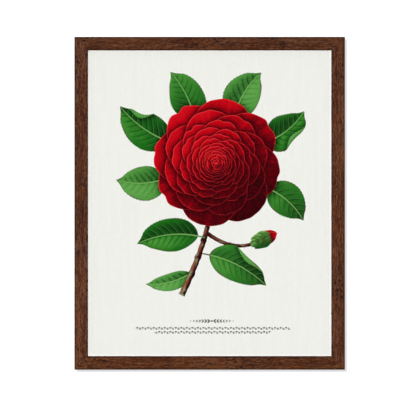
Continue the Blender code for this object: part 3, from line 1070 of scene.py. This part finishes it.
class PRINT_OT_stem(bpy.types.Operator):
    """Print the twig with its side shoot, and the bud's scales and crimson tip"""

    bl_idname = "print_art.stem"
    bl_label = "Print twig and bud"

    def execute(self, context):
        twigs, bud = twig_shapes(), bud_shapes()
        leaves = [leaf for leaf in leaf_shapes() if leaf.piece in FRONT_LEAVES]
        above = outer_petals() + leaves + twigs + bud
        add_shade(twigs, lambda twig: over(twig, above))
        add_shade(bud, lambda scale: over(scale, bud))
        print_piece("twig", twigs, bark_ink())
        print_piece("bud_petals", bud, petal_ink("bud petal ink"))
        print_piece("bud_scales", bud, scale_ink())
        return {"FINISHED"}


class PRINT_OT_bloom(bpy.types.Operator):
    """Print the camellia bloom, in outer, middle and inner rings of petals"""

    bl_idname = "print_art.bloom"
    bl_label = "Print bloom"

    def execute(self, context):
        petals = bloom_shapes()
        add_shade(petals, lambda petal: petal_covers(petal, petals))
        ink = petal_ink("petal ink")
        for name in BLOOM_PIECES:
            print_piece(name, petals, ink)
        return {"FINISHED"}


# The ornament under the picture, a sprig over two garlands, by its places from the sheet's centre
ORNAMENT_X = 3.5 * MM
SPRIG_Y = -192 * MM
GARLAND_Y = (-203.9 * MM, -210.4 * MM)
GARLAND_SHARES = (1.0, 0.74)
# Each leaf's length and half width, and how far it leans from the stem
SPRIG_LEAF = (5.8 * MM, 1.05 * MM)
SPRIG_LEAN = math.radians(34)
GARLAND_LEAF = (4.3 * MM, 0.98 * MM)
GARLAND_LEAN = math.radians(17)
LEAF_GRID = (2, 6)
# The pairs of leaves along half a sprig: where the first stands, how far apart they are and how
# much each is smaller than the one before, as shares of the half and of the first
SPRIG_LEAVES = 6
SPRIG_START = 0.08
SPRIG_STEP = 0.14
SPRIG_SHRINK = 0.09
SPRIG_STEM = 0.3 * MM
SPRIG_DOT = 1.5 * MM
# The dot at each end of the sprig, how far in its middle lies, and the gap that the stem leaves
END_DOT = 0.8 * MM
END_DOT_INSET = 1.2 * MM
END_GAP = 3 * MM
# One wave of a garland, and where its two berries hang, in quarters of it
WAVE = 9 * MM
WAVE_SWING = 0.55 * MM
GARLAND_STEM = 0.22 * MM
BERRY = 0.6 * MM
BERRY_PLACES = (3.6, 1.6)
STEM_GRID = (1, 16)
DOT_CORNERS = 10


def small_leaf(base, angle, length, half_width):
    """A small pointed leaf from its base."""
    across, along = unit_grid(*LEAF_GRID)
    way, aside = directions(angle)
    side = across * half_width * np.sin(math.pi * along ** 0.85) ** 0.8
    points = np.array(base) + (along * length)[:, None] * way + side[:, None] * aside
    return print_shape(Shape("ornament", *LEAF_GRID, points, LEVEL_ORNAMENT))


def small_stem(length, swing, half_width):
    """A stem to the right from the sheet's centre, one wave long, thinned to a point if straight."""
    across, along = unit_grid(*STEM_GRID)
    half = half_width * (1 if swing else 1.15 - along)
    points = np.stack((along * length, swing * np.sin(2 * math.pi * along) + across * half), 1)
    return print_shape(Shape("ornament", *STEM_GRID, points, LEVEL_ORNAMENT))


def dot(x, y, radius):
    """A small round dot on the sheet, facing the front."""
    deselect_all()
    bpy.ops.mesh.primitive_circle_add(vertices=DOT_CORNERS, radius=radius, fill_type="NGON",
                                      rotation=(math.pi / 2, 0, 0),
                                      location=(CENTRE_X + x, level(LEVEL_ORNAMENT), CENTRE_Z + y))
    return bpy.context.active_object


def slide(ob, x, y):
    """Moves a shape on the sheet, in its mesh."""
    deselect_all()
    ob.select_set(True)
    bpy.context.view_layer.objects.active = ob
    bpy.ops.transform.translate(value=(x, 0, y))
    apply_place()


def garland(width, y, way):
    """A waved stem with a leaf and a berry in each half wave, the first wave up or down (1, -1)."""
    count = round(width / WAVE)
    quarter = WAVE / 4
    crest = way * WAVE_SWING
    parts = [small_stem(WAVE, crest, GARLAND_STEM)]
    for x, side in ((quarter, 1), (3 * quarter, -1)):
        parts.append(small_leaf((x, side * crest), side * way * GARLAND_LEAN, *GARLAND_LEAF))
    for place, side in zip(BERRY_PLACES, (1, -1), strict=True):
        parts.append(dot(place * quarter, side * (crest + way * BERRY), BERRY))
    unit = join(parts, "garland")
    repeat = unit.modifiers.new("Repeat", "ARRAY")
    repeat.count = count
    repeat.use_relative_offset = False
    repeat.use_constant_offset = True
    repeat.constant_offset_displace = (WAVE, 0, 0)
    bpy.ops.object.modifier_apply(modifier=repeat.name)
    slide(unit, ORNAMENT_X - count * WAVE / 2, y)
    return unit


def double_sprig(width):
    """A level sprig to each side of a centre dot, its leaves growing smaller."""
    half = width / 2
    parts = [dot(0, 0, SPRIG_DOT)]
    for turn in (0, math.pi):
        side = [small_stem(half - END_GAP, 0, SPRIG_STEM)]
        for i in range(SPRIG_LEAVES):
            x = half * (SPRIG_START + SPRIG_STEP * i)
            length, half_width = (size * (1 - SPRIG_SHRINK * i) for size in SPRIG_LEAF)
            for lean in (-SPRIG_LEAN, SPRIG_LEAN):
                side.append(small_leaf((x, 0), lean, length, half_width))
        side.append(dot(half - END_DOT_INSET, 0, END_DOT))
        parts.append(join(side, "sprig"))
        bpy.ops.transform.rotate(value=turn, orient_axis="Y",
                                 center_override=(CENTRE_X, level(LEVEL_ORNAMENT), CENTRE_Z))
        apply_place()
    sprig = join(parts, "double sprig")
    slide(sprig, ORNAMENT_X, SPRIG_Y)
    return sprig


class PRINT_OT_ornament(bpy.types.Operator):
    """Print the sprig and the two garlands under the picture"""

    bl_idname = "print_art.ornament"
    bl_label = "Print ornament"

    def execute(self, context):
        settings = context.scene.print_paper
        parts = [double_sprig(settings.sprig_width)]
        for y, share, way in zip(GARLAND_Y, GARLAND_SHARES, (1, -1), strict=True):
            parts.append(garland(settings.garland_width * share, y, way))
        finish_piece("ornament", parts, ornament_ink())
        return {"FINISHED"}


# Paper and pane

# How far from the sheet's centre the off-white tint reaches, before the painted highlight at its edge
HIGHLIGHT_STRIP_RIGHT = 195.6 * MM
HIGHLIGHT_STRIP_LOW = 246.4 * MM
HIGHLIGHT_STRIP_FADE = 0.5 * MM


def tinted_paper():
    """Off-white paper with slightly darker fibres, and a painted highlight along its right and lower
    edges.
    """
    settings = bpy.context.scene.print_paper
    material, tree, shader = new_material("print paper", 0.85, specular=0.08)
    place = object_place(tree)
    fibres = noise(stretched(place, (420, 1, 130)), 1.0, 4.0, 0.62, 1.5)
    streaks = noise(stretched(place, (170, 1, 9)), 1.0)
    amount = 0.45 * remap(fibres, 0.42, 0.72) + 0.16 * remap(streaks, 0.38, 0.66)
    split = add("SeparateXYZ", {"Vector": place})
    right, low = CENTRE_X + HIGHLIGHT_STRIP_RIGHT, CENTRE_Z - HIGHLIGHT_STRIP_LOW
    # Painted highlight: a near-white strip along the sheet's right and lower edges, mixed in below
    bare_wood_or_highlit_strip = calc("MAXIMUM", remap(split["X"], right, right + HIGHLIGHT_STRIP_FADE),
                fade(split["Z"], low - HIGHLIGHT_STRIP_FADE, low))
    colour = mix(bare_wood_or_highlit_strip, mix(amount, settings.paper, settings.fibre), srgb(252, 252, 252))
    fill(shader, {"Base Color": colour,
                  "Normal": bump(fibres + noise(place, 1900), 0.02 * MM, 0.5)})
    return material


class PRINT_OT_paper(bpy.types.Operator):
    """Finish the sheet as tinted paper"""

    bl_idname = "print_art.paper"
    bl_label = "Finish paper"

    def execute(self, context):
        wear("print_sheet", tinted_paper())
        return {"FINISHED"}


def low_glare_glass():
    """Clear glass, faintly green, that reflects little."""
    material, _, shader = new_material("low-glare glass", 0.0)
    fill(shader, {"Base Color": (0.995, 1.0, 0.997, 1.0), "IOR": 1.13, "Transmission Weight": 1.0})
    return material


class PRINT_OT_pane(bpy.types.Operator):
    """Finish the glazing as clear low-glare glass"""

    bl_idname = "print_art.pane"
    bl_label = "Finish pane"

    def execute(self, context):
        wear("glazing", low_glare_glass())
        let_light_pass(frame["nodes"]["glazing"])
        return {"FINISHED"}


# Wood

def knot_masks(place, ripple):
    """The halo, heart and dark rim of a few small knots."""
    knots = cells(stretched(place, (17, 34, 34)), randomness=0.9)
    chosen = fade(red_of(knots["Color"]), 0.16, 0.18)
    ring = knots + 0.10 * ripple
    return (chosen * fade(ring, 0.08, 0.2, 0.55), chosen * fade(ring, 0.03, 0.07, 0.7),
            chosen * fade(abs(ring - 0.19), 0.0, 0.035, 0.5))


def walnut_grain(name):
    """Stained walnut, its grain along X, with painted shade on its edges: colour, roughness and height."""
    settings = bpy.context.scene.print_frame
    group, ins, outs = new_group(
        name,
        [("Vector", "Vector", None), ("Edge shade", "Float", 0.0), ("Stain", "Color", (1, 1, 1, 1))],
        [("Color", "Color", None), ("Roughness", "Float", None), ("Height", "Float", None)])
    place = ins["Vector"]

    def grain(along, across, detail=2.0, vector=place):
        """Noise round 0, its scales along and across the grain."""
        return noise(stretched(vector, (along, across, across)), 1.0, detail, 0.6) - 0.5

    drift = grain(9, 60)
    sway = vector_of(0.0, 0.004 * drift, 0.007 * drift)
    swayed = add("VectorMath", {0: place, 1: sway}, operation="ADD")
    bands, streaks = grain(9, 95, 1.0, swayed), grain(42, 430, 2.0, swayed)
    flecks, hairs = grain(140, 700, 2.0, swayed), grain(110, 1900, 3.0, swayed)
    ticks = grain(300, 620, 1.0)
    value = 0.5 + 0.9 * bands + 1.5 * streaks + 2.0 * flecks + 1.2 * ticks + 0.9 * hairs
    colour = ramp(value, (0.0, settings.walnut_dark), (0.5, settings.walnut),
                  (1.0, settings.walnut_light))
    red = mix(1.0, colour, srgb(255, 232, 205), "MULTIPLY")
    plum = mix(1.0, colour, srgb(242, 240, 246), "MULTIPLY")
    colour = mix(remap(grain(55, 130) + 0.7 * drift, -0.16, 0.16), red, plum)
    halo, heart, rim = knot_masks(place, flecks)
    pores = fade(cells(stretched(swayed, (140, 900, 900))), 0.10, 0.28)
    pores = pores * remap(grain(30, 90), -0.03, 0.1)
    spots = fade(cells(stretched(place, (120, 230, 230))), 0.24, 0.42)
    spots = spots * remap(grain(11, 30), 0.07, 0.12)
    dark = srgb(34, 17, 12)
    # The last tint is painted shade, laid on the rails' front edges by the edge mask that comes into the
    # group
    for mask, tint in ((halo, srgb(116, 74, 46)), (heart, srgb(112, 46, 16)), (rim, dark),
                       (0.6 * pores, dark), (0.9 * spots, srgb(22, 12, 12)),
                       (ins["Edge shade"], srgb(44, 17, 6))):
        colour = mix(mask, colour, tint)
    fill(outs, {"Color": mix(1.0, colour, ins["Stain"], "MULTIPLY"),
                "Roughness": remap(streaks, -0.2, 0.2, 0.64, 0.5, "LINEAR"),
                "Height": 0.6 * streaks - 0.8 * pores})
    return group


def rail_edge_shade(tree, lip_shade):
    """Masks from a point's place on the frame: painted shade along its outer and inner front edges, and
    the unstained back.
    """
    place = object_place(tree)
    split = add("SeparateXYZ", {"Vector": place})
    inward = calc("MINIMUM", HALF_WIDTH - abs(split["X"] - CENTRE_X),
                  HALF_HEIGHT - abs(split["Z"] - CENTRE_Z))
    # Painted shade: the outer front edges and the inner edge of the lip are darkened in the colour, most
    # near the face
    outer = fade(inward, 0.6 * MM, 2.9 * MM, 0.92)
    inner = remap(inward, RAIL_FACE - 2.7 * MM, RAIL_FACE - 1.4 * MM, 0.0, lip_shade)
    front = remap(split["Y"], FRONT_Y + 0.8 * MM, FRONT_Y + 2.5 * MM, 1.0, 0.2)
    uneven = remap(noise(place, 110, 4.0), 0.3, 0.62, 0.6, 1.0)
    ragged = split["Y"] + 1.6 * MM * (noise(place, 160, 3.0) - 0.5)
    back = remap(ragged, BACK_Y - 0.7 * MM, BACK_Y - 0.3 * MM)
    return calc("MAXIMUM", outer, inner) * front * uneven, back


# How far each rail's stretch of grain lies from the one before it
GRAIN_SHIFT = (0.37, 0.11, 0.23)
# A side rail and a cross rail: the turn from the grain's own way, how dark the painted shade on
# the inner edge is and the stain's tint
SIDE_RAIL = (math.pi / 2, 0.5, (0.96, 0.94, 0.95, 1.0))
CROSS_RAIL = (0.0, 0.8, (0.91, 0.83, 0.68, 1.0))
RAILS = {"top": CROSS_RAIL, "bottom": CROSS_RAIL, "left": SIDE_RAIL, "right": SIDE_RAIL}


def walnut(side, order, turn, lip_shade, stain):
    """A rail's walnut: stained, with a stretch of the grain by its order, painted shade on its front edges
    and bare on its back.
    """
    material, tree, shader = new_material("walnut " + side, specular=0.06)
    place = stretched(object_place(tree), location=[order * shift for shift in GRAIN_SHIFT],
                      rotation=(0, turn, 0))
    edge, back = rail_edge_shade(tree, lip_shade)
    wood = use_group(walnut_grain, {"Vector": place, "Edge shade": edge, "Stain": stain})
    bare_wood_or_highlit_strip = mix(1.0, wood["Color"], (2.3, 2.6, 3.0), "MULTIPLY")
    raw = mix(0.45, bare_wood_or_highlit_strip, srgb(142, 106, 76))
    fill(shader, {"Base Color": mix(back, wood["Color"], raw), "Roughness": wood["Roughness"],
                  "Normal": bump(wood["Height"], 0.12 * MM, 0.5)})
    return material


class PRINT_OT_wood(bpy.types.Operator):
    """Finish the four rails as stained walnut, each with its own stretch of grain"""

    bl_idname = "print_art.wood"
    bl_label = "Finish wood"

    def execute(self, context):
        for order, (side, look) in enumerate(RAILS.items()):
            wear("rail_" + side, walnut(side, order, *look))
        return {"FINISHED"}


LIP_DEPTH = PANE_BOX[0].y - FRONT_Y
GLUE_SUNK = 0.5 * MM
GLUE_WIDTH = 0.10 * MM


def mitre_glue():
    """Dark glue with dust in it."""
    material, tree, shader = new_material("mitre glue", 0.6, specular=0.1)
    dust = noise(object_place(tree), 700, 3.0)
    fill(shader, {"Base Color": mix(dust, srgb(26, 12, 8), srgb(60, 34, 22))})
    return material


def glue_line(name, x_way, z_way, glue):
    """A thin bevelled strip along the mitre of the corner to the left or right (-1, 1) and at the
    bottom or top (-1, 1)."""
    depth = LIP_DEPTH - 2 * GLUE_SUNK
    place = (CENTRE_X + x_way * (HALF_WIDTH - RAIL_FACE / 2), FRONT_Y + GLUE_SUNK + depth / 2,
             CENTRE_Z + z_way * (HALF_HEIGHT - RAIL_FACE / 2))
    deselect_all()
    bpy.ops.mesh.primitive_cube_add(size=1, location=place,
                                    rotation=(0, -x_way * z_way * math.pi / 4, 0))
    line = bpy.context.active_object
    line.scale = (math.sqrt(2) * (RAIL_FACE - 2 * GLUE_SUNK), depth, GLUE_WIDTH)
    apply_place()
    bpy.ops.object.mode_set(mode="EDIT")
    bpy.ops.mesh.select_all(action="SELECT")
    bpy.ops.mesh.bevel(offset=GLUE_WIDTH / 4, segments=1, affect="EDGES")
    bpy.ops.object.mode_set(mode="OBJECT")
    line.name = line.data.name = name
    line.data.materials.append(glue)
    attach(line, BODY)


class PRINT_OT_glue(bpy.types.Operator):
    """Fill the four mitres with thin dark glue lines, a little below the face"""

    bl_idname = "print_art.glue"
    bl_label = "Glue mitres"

    def execute(self, context):
        glue = mitre_glue()
        for x_name, x_way in (("left", -1), ("right", 1)):
            for z_name, z_way in (("top", 1), ("bottom", -1)):
                glue_line(f"glue_line_{z_name}_{x_name}", x_way, z_way, glue)
        deselect_all()
        return {"FINISHED"}


# Boards and hardware

def white_board():
    """White board with the grain of fine foam."""
    material, tree, shader = new_material("filler board", 0.9, specular=0.1)
    foam = cells(object_place(tree), 1400)
    fill(shader, {"Base Color": mix(foam, srgb(236, 235, 230), srgb(214, 212, 205)),
                  "Normal": bump(foam, 0.1 * MM, 0.4)})
    return material


def fibreboard():
    """Brown fibreboard: fine chips and fibres, soft clouds and small dark specks."""
    colour = bpy.context.scene.print_frame.board
    material, tree, shader = new_material("fibreboard", 0.82, specular=0.25)
    place = object_place(tree)
    chips = red_of(cells(place, 1300)["Color"])
    fibres = noise(stretched(place, (1500, 1500, 1100)), 1.0, 4.0, 0.7, 1.2)
    tone = 0.65 * fibres + 0.16 * chips + 0.16 * noise(place, 11, 3.0, 0.6)
    base = ramp(remap(tone, 0.21, 0.77, kind="LINEAR"), (0.0, scaled(colour, 0.62)),
                (0.5, colour), (1.0, scaled(colour, 1.32)))
    specks = 0.6 * fade(cells(place, 260), 0.06, 0.14)
    fill(shader, {"Base Color": mix(specks, base, srgb(70, 46, 30)),
                  "Roughness": remap(fibres, 0.3, 0.7, 0.9, 0.7, "LINEAR"),
                  "Normal": bump(fibres, 0.08 * MM, 0.5)})
    return material


class PRINT_OT_boards(bpy.types.Operator):
    """Finish the filler as white board and the backing as fibreboard"""

    bl_idname = "print_art.boards"
    bl_label = "Finish boards"

    def execute(self, context):
        wear("filler_board", white_board())
        wear("backing_board", fibreboard())
        return {"FINISHED"}


SCRATCH_TURNS = (0.4, 1.3, 2.3)


def plated_wear(name):
    """Fine crossing scratches and soft blotches on plated metal."""
    group, ins, outs = new_group(
        name, [("Vector", "Vector", None), ("Scale", "Float", 1.0)],
        [("Scratches", "Float", None), ("Blotches", "Float", None)])
    place = add("VectorMath", {0: ins["Vector"], "Scale": ins["Scale"]}, operation="SCALE")
    scratches = 0.0
    for turn in SCRATCH_TURNS:
        lines = noise(stretched(place, (160, 160, 4200), rotation=(0, turn, 0)), 1.0)
        scratches = calc("MAXIMUM", scratches, remap(lines, 0.62, 0.74))
    fill(outs, {"Scratches": scratches, "Blotches": noise(place, 320, 4.0, 0.6)})
    return group


def plated(name, colour, dull, roughness, scale=1.0):
    """Plated metal with dull blotches and fine scratches."""
    material, tree, shader = new_material(name, roughness, metallic=1.0)
    worn = use_group(plated_wear, {"Vector": object_place(tree), "Scale": scale})
    blotches, scratches = remap(worn["Blotches"], 0.35, 0.75), worn["Scratches"]
    base = mix(0.6 * blotches, colour, dull)
    base = mix(0.45 * scratches, base, scaled(colour, 1.25))
    rough = calc("SUBTRACT", roughness + 0.16 * blotches, 0.1 * scratches, clamp=True)
    fill(shader, {"Base Color": base, "Roughness": rough,
                  "Normal": bump(scratches, 0.02 * MM, 0.4)})
    return material


def rubber():
    """Dark rubber with dust on it."""
    material, tree, shader = new_material("bumper rubber", 0.7, specular=0.3)
    dust = noise(object_place(tree), 900, 4.0, 0.65)
    fill(shader, {"Base Color": mix(remap(dust, 0.45, 0.75), srgb(52, 51, 50), srgb(88, 85, 80)),
                  "Normal": bump(dust, 0.05 * MM, 0.5)})
    return material


def nodes_named(start):
    """The names of the CAD nodes that start so."""
    return [name for name in sorted(frame["nodes"]) if name.startswith(start)]


class PRINT_OT_hardware(bpy.types.Operator):
    """Finish the turn buttons, screws, hanger, nails, wedges and bumpers"""

    bl_idname = "print_art.hardware"
    bl_label = "Finish hardware"

    def execute(self, context):
        settings = context.scene.print_frame
        finishes = {
            "turn_button_": plated("zinc plate", settings.zinc, srgb(150, 151, 150), 0.32),
            "button_screw_": plated("screw steel", srgb(206, 206, 204), srgb(160, 158, 152), 0.24,
                                    1.6),
            "sawtooth_hanger": plated("brassed steel", settings.brass, srgb(184, 148, 86), 0.3),
            "hanger_nail_": plated("nail steel", srgb(190, 188, 182), srgb(140, 136, 128), 0.28,
                                   1.6),
            "corner_wedge_": plated("blued steel", srgb(70, 72, 76), srgb(40, 40, 42), 0.4, 1.4),
            "wall_bumper_": rubber(),
        }
        for start, material in finishes.items():
            for name in nodes_named(start):
                wear(name, material)
        return {"FINISHED"}


# Studio

# The wall and floor: their sizes, their paint, and the even light that is added to it
WALL_SIZE = 5.0
WALL_WHITE = (0.50, 0.50, 0.50)
WALL_GLOW = 0.635
FLOOR_SIZE = 14.0
FLOOR_BELOW = 0.45
FLOOR_PALE = (0.72, 0.72, 0.71)
FLOOR_GLOW = 0.12
GLOW_TINT = (0.97, 1.0, 1.0)
SENSOR_WIDTH = 36.0
# The lamps' softness, and their angles from the sheet's normal. The rear one stands behind it.
KEY_SOFTNESS = math.radians(12)
KEY_ASIDE = math.radians(15)
KEY_ABOVE = math.radians(15)
REAR_LIGHT = 0.45
REAR_SOFTNESS = math.radians(12)
REAR_ASIDE = math.radians(180 + 32)
REAR_ABOVE = math.radians(38)


def one_sided(name, colour, glow):
    """A stage surface that shows only its front: paint, with an even light added to it."""
    material = bpy.data.materials.new(name)
    material.use_nodes = True
    tree = material.node_tree
    tree.nodes.clear()
    paint = add("BsdfDiffuse", {"Color": opaque(colour)}, tree)
    even = add("Emission", {"Color": opaque(GLOW_TINT), "Strength": glow}, tree)
    facing = add("NewGeometry", tree=tree)["Backfacing"]
    shown = add("MixShader", {0: facing, 1: add("AddShader", {0: paint, 1: even}),
                              2: add("BsdfTransparent", tree=tree)})
    add("OutputMaterial", {"Surface": shown})
    return material


def stage_plane(name, size, location, rotation, material):
    """A wall or floor that is seen but throws no light or shadow on the object."""
    deselect_all()
    bpy.ops.mesh.primitive_plane_add(size=size, location=location, rotation=rotation)
    plane = bpy.context.active_object
    plane.name = plane.data.name = name
    plane.data.materials.append(material)
    let_light_pass(plane)


def sun(name, white, softness, aside, above):
    """A sun by its angles from the sheet's normal. It lights white to the brightness given."""
    deselect_all()
    bpy.ops.object.light_add(type="SUN", rotation=(math.pi / 2 - above, 0, -aside))
    lamp = bpy.context.active_object
    lamp.name = name
    lamp.data.energy = white * math.pi / abs(math.cos(aside) * math.cos(above))
    lamp.data.angle = softness
    return lamp


def linked(name, objects, state):
    """A collection that a lamp takes objects in from, or leaves them out of."""
    group = bpy.data.collections.new(name)
    for ob in objects:
        group.objects.link(ob)
    for entry in group.collection_objects:
        entry.light_linking.link_state = state
    return group


def studio_lamps(white):
    """A key lamp for the frame, one for the print that the rails don't shade, and one behind."""
    key = sun("key", white, KEY_SOFTNESS, KEY_ASIDE, KEY_ABOVE)
    print_key = sun("print_key", white, KEY_SOFTNESS, KEY_ASIDE, KEY_ABOVE)
    sun("rear", REAR_LIGHT, REAR_SOFTNESS, REAR_ASIDE, REAR_ABOVE)
    printed = [frame["nodes"]["print_sheet"]]
    printed += [ob for ob in bpy.data.objects if ob.name.startswith("printed_")]
    rails = [frame["nodes"][name] for name in nodes_named("rail_")]
    key.light_linking.receiver_collection = linked("beside the key", printed, "EXCLUDE")
    print_key.light_linking.receiver_collection = linked("in the print key", printed, "INCLUDE")
    print_key.light_linking.blocker_collection = linked("clear of it", rails, "EXCLUDE")


def studio_world(soft):
    """Even soft light, brighter from above and behind, and white where it is seen."""
    world = bpy.data.worlds.new("soft studio")
    bpy.context.scene.world = world
    world.use_nodes = True
    tree = world.node_tree
    tree.nodes.clear()
    way = add("SeparateXYZ", {"Vector": add("TexCoord", tree=tree)["Generated"]})
    light = remap(way["Y"], 0.0, 0.9, 0.0, 0.85) + remap(way["Z"], 0.0, 1.0, 0.0, 0.20) + soft
    seen = add("LightPath", tree=tree)["Is Camera Ray"]
    strength = add("Mix", {0: seen, 2: light, 3: 1.0}, data_type="FLOAT")
    back = add("Background", {"Color": (1.0, 1.0, 1.0, 1.0), "Strength": strength})
    add("OutputWorld", {"Surface": back})


def place_camera(settings):
    """A level camera from the front, so that the frame has its place and size in the photo."""
    pixel = 2 * HALF_WIDTH / settings.photo_frame_width
    distance = settings.photo_width * pixel * settings.lens / SENSOR_WIDTH
    right, down = settings.photo_offset
    place = (CENTRE_X - right * pixel, FRONT_Y - distance, CENTRE_Z + down * pixel)
    deselect_all()
    bpy.ops.object.camera_add(location=place, rotation=(math.pi / 2, 0, 0))
    camera = bpy.context.active_object
    camera.data.lens = settings.lens
    camera.data.sensor_width = SENSOR_WIDTH
    bpy.context.scene.camera = camera


class PRINT_OT_stage(bpy.types.Operator):
    """Set up the wall, floor, light and camera"""

    bl_idname = "print_art.stage"
    bl_label = "Set up studio"

    def execute(self, context):
        settings = context.scene.print_studio
        stage_plane("studio_wall", WALL_SIZE, (CENTRE_X, WALL_Y, CENTRE_Z), (math.pi / 2, 0, 0),
                    one_sided("studio wall white", WALL_WHITE, WALL_GLOW))
        stage_plane("studio_floor", FLOOR_SIZE, (0, 0, CAD_BOX[0].z - FLOOR_BELOW), (0, 0, 0),
                    one_sided("studio floor pale", FLOOR_PALE, FLOOR_GLOW))
        studio_world(settings.soft)
        studio_lamps(settings.key)
        place_camera(settings)
        context.scene.view_settings.view_transform = "Standard"
        return {"FINISHED"}


STEPS = (PRINT_OT_paper, PRINT_OT_leaves, PRINT_OT_stem, PRINT_OT_bloom, PRINT_OT_ornament,
         PRINT_OT_pane, PRINT_OT_wood, PRINT_OT_glue, PRINT_OT_boards, PRINT_OT_hardware,
         PRINT_OT_stage)


class PRINT_PT_panel(bpy.types.Panel):
    """The print's settings and steps, in the sidebar"""

    bl_idname = "PRINT_PT_panel"
    bl_label = "Framed Print"
    bl_space_type = "VIEW_3D"
    bl_region_type = "UI"
    bl_category = "Framed Print"

    def draw(self, context):
        for name in SETTINGS:
            box = self.layout.box()
            group = getattr(context.scene, name)
            for key in group.__annotations__:
                box.prop(group, key)
        for step in STEPS:
            self.layout.operator(step.bl_idname)


CLASSES = (*SETTINGS.values(), *STEPS, PRINT_PT_panel)


def register():
    for cls in CLASSES:
        bpy.utils.register_class(cls)
    for name, group in SETTINGS.items():
        setattr(bpy.types.Scene, name, bpy.props.PointerProperty(type=group))


def unregister():
    for name in SETTINGS:
        delattr(bpy.types.Scene, name)
    for cls in reversed(CLASSES):
        bpy.utils.unregister_class(cls)


def main():
    register()
    for step in STEPS:
        area, name = step.bl_idname.split(".")
        getattr(getattr(bpy.ops, area), name)()


if __name__ == "__main__":
    main()
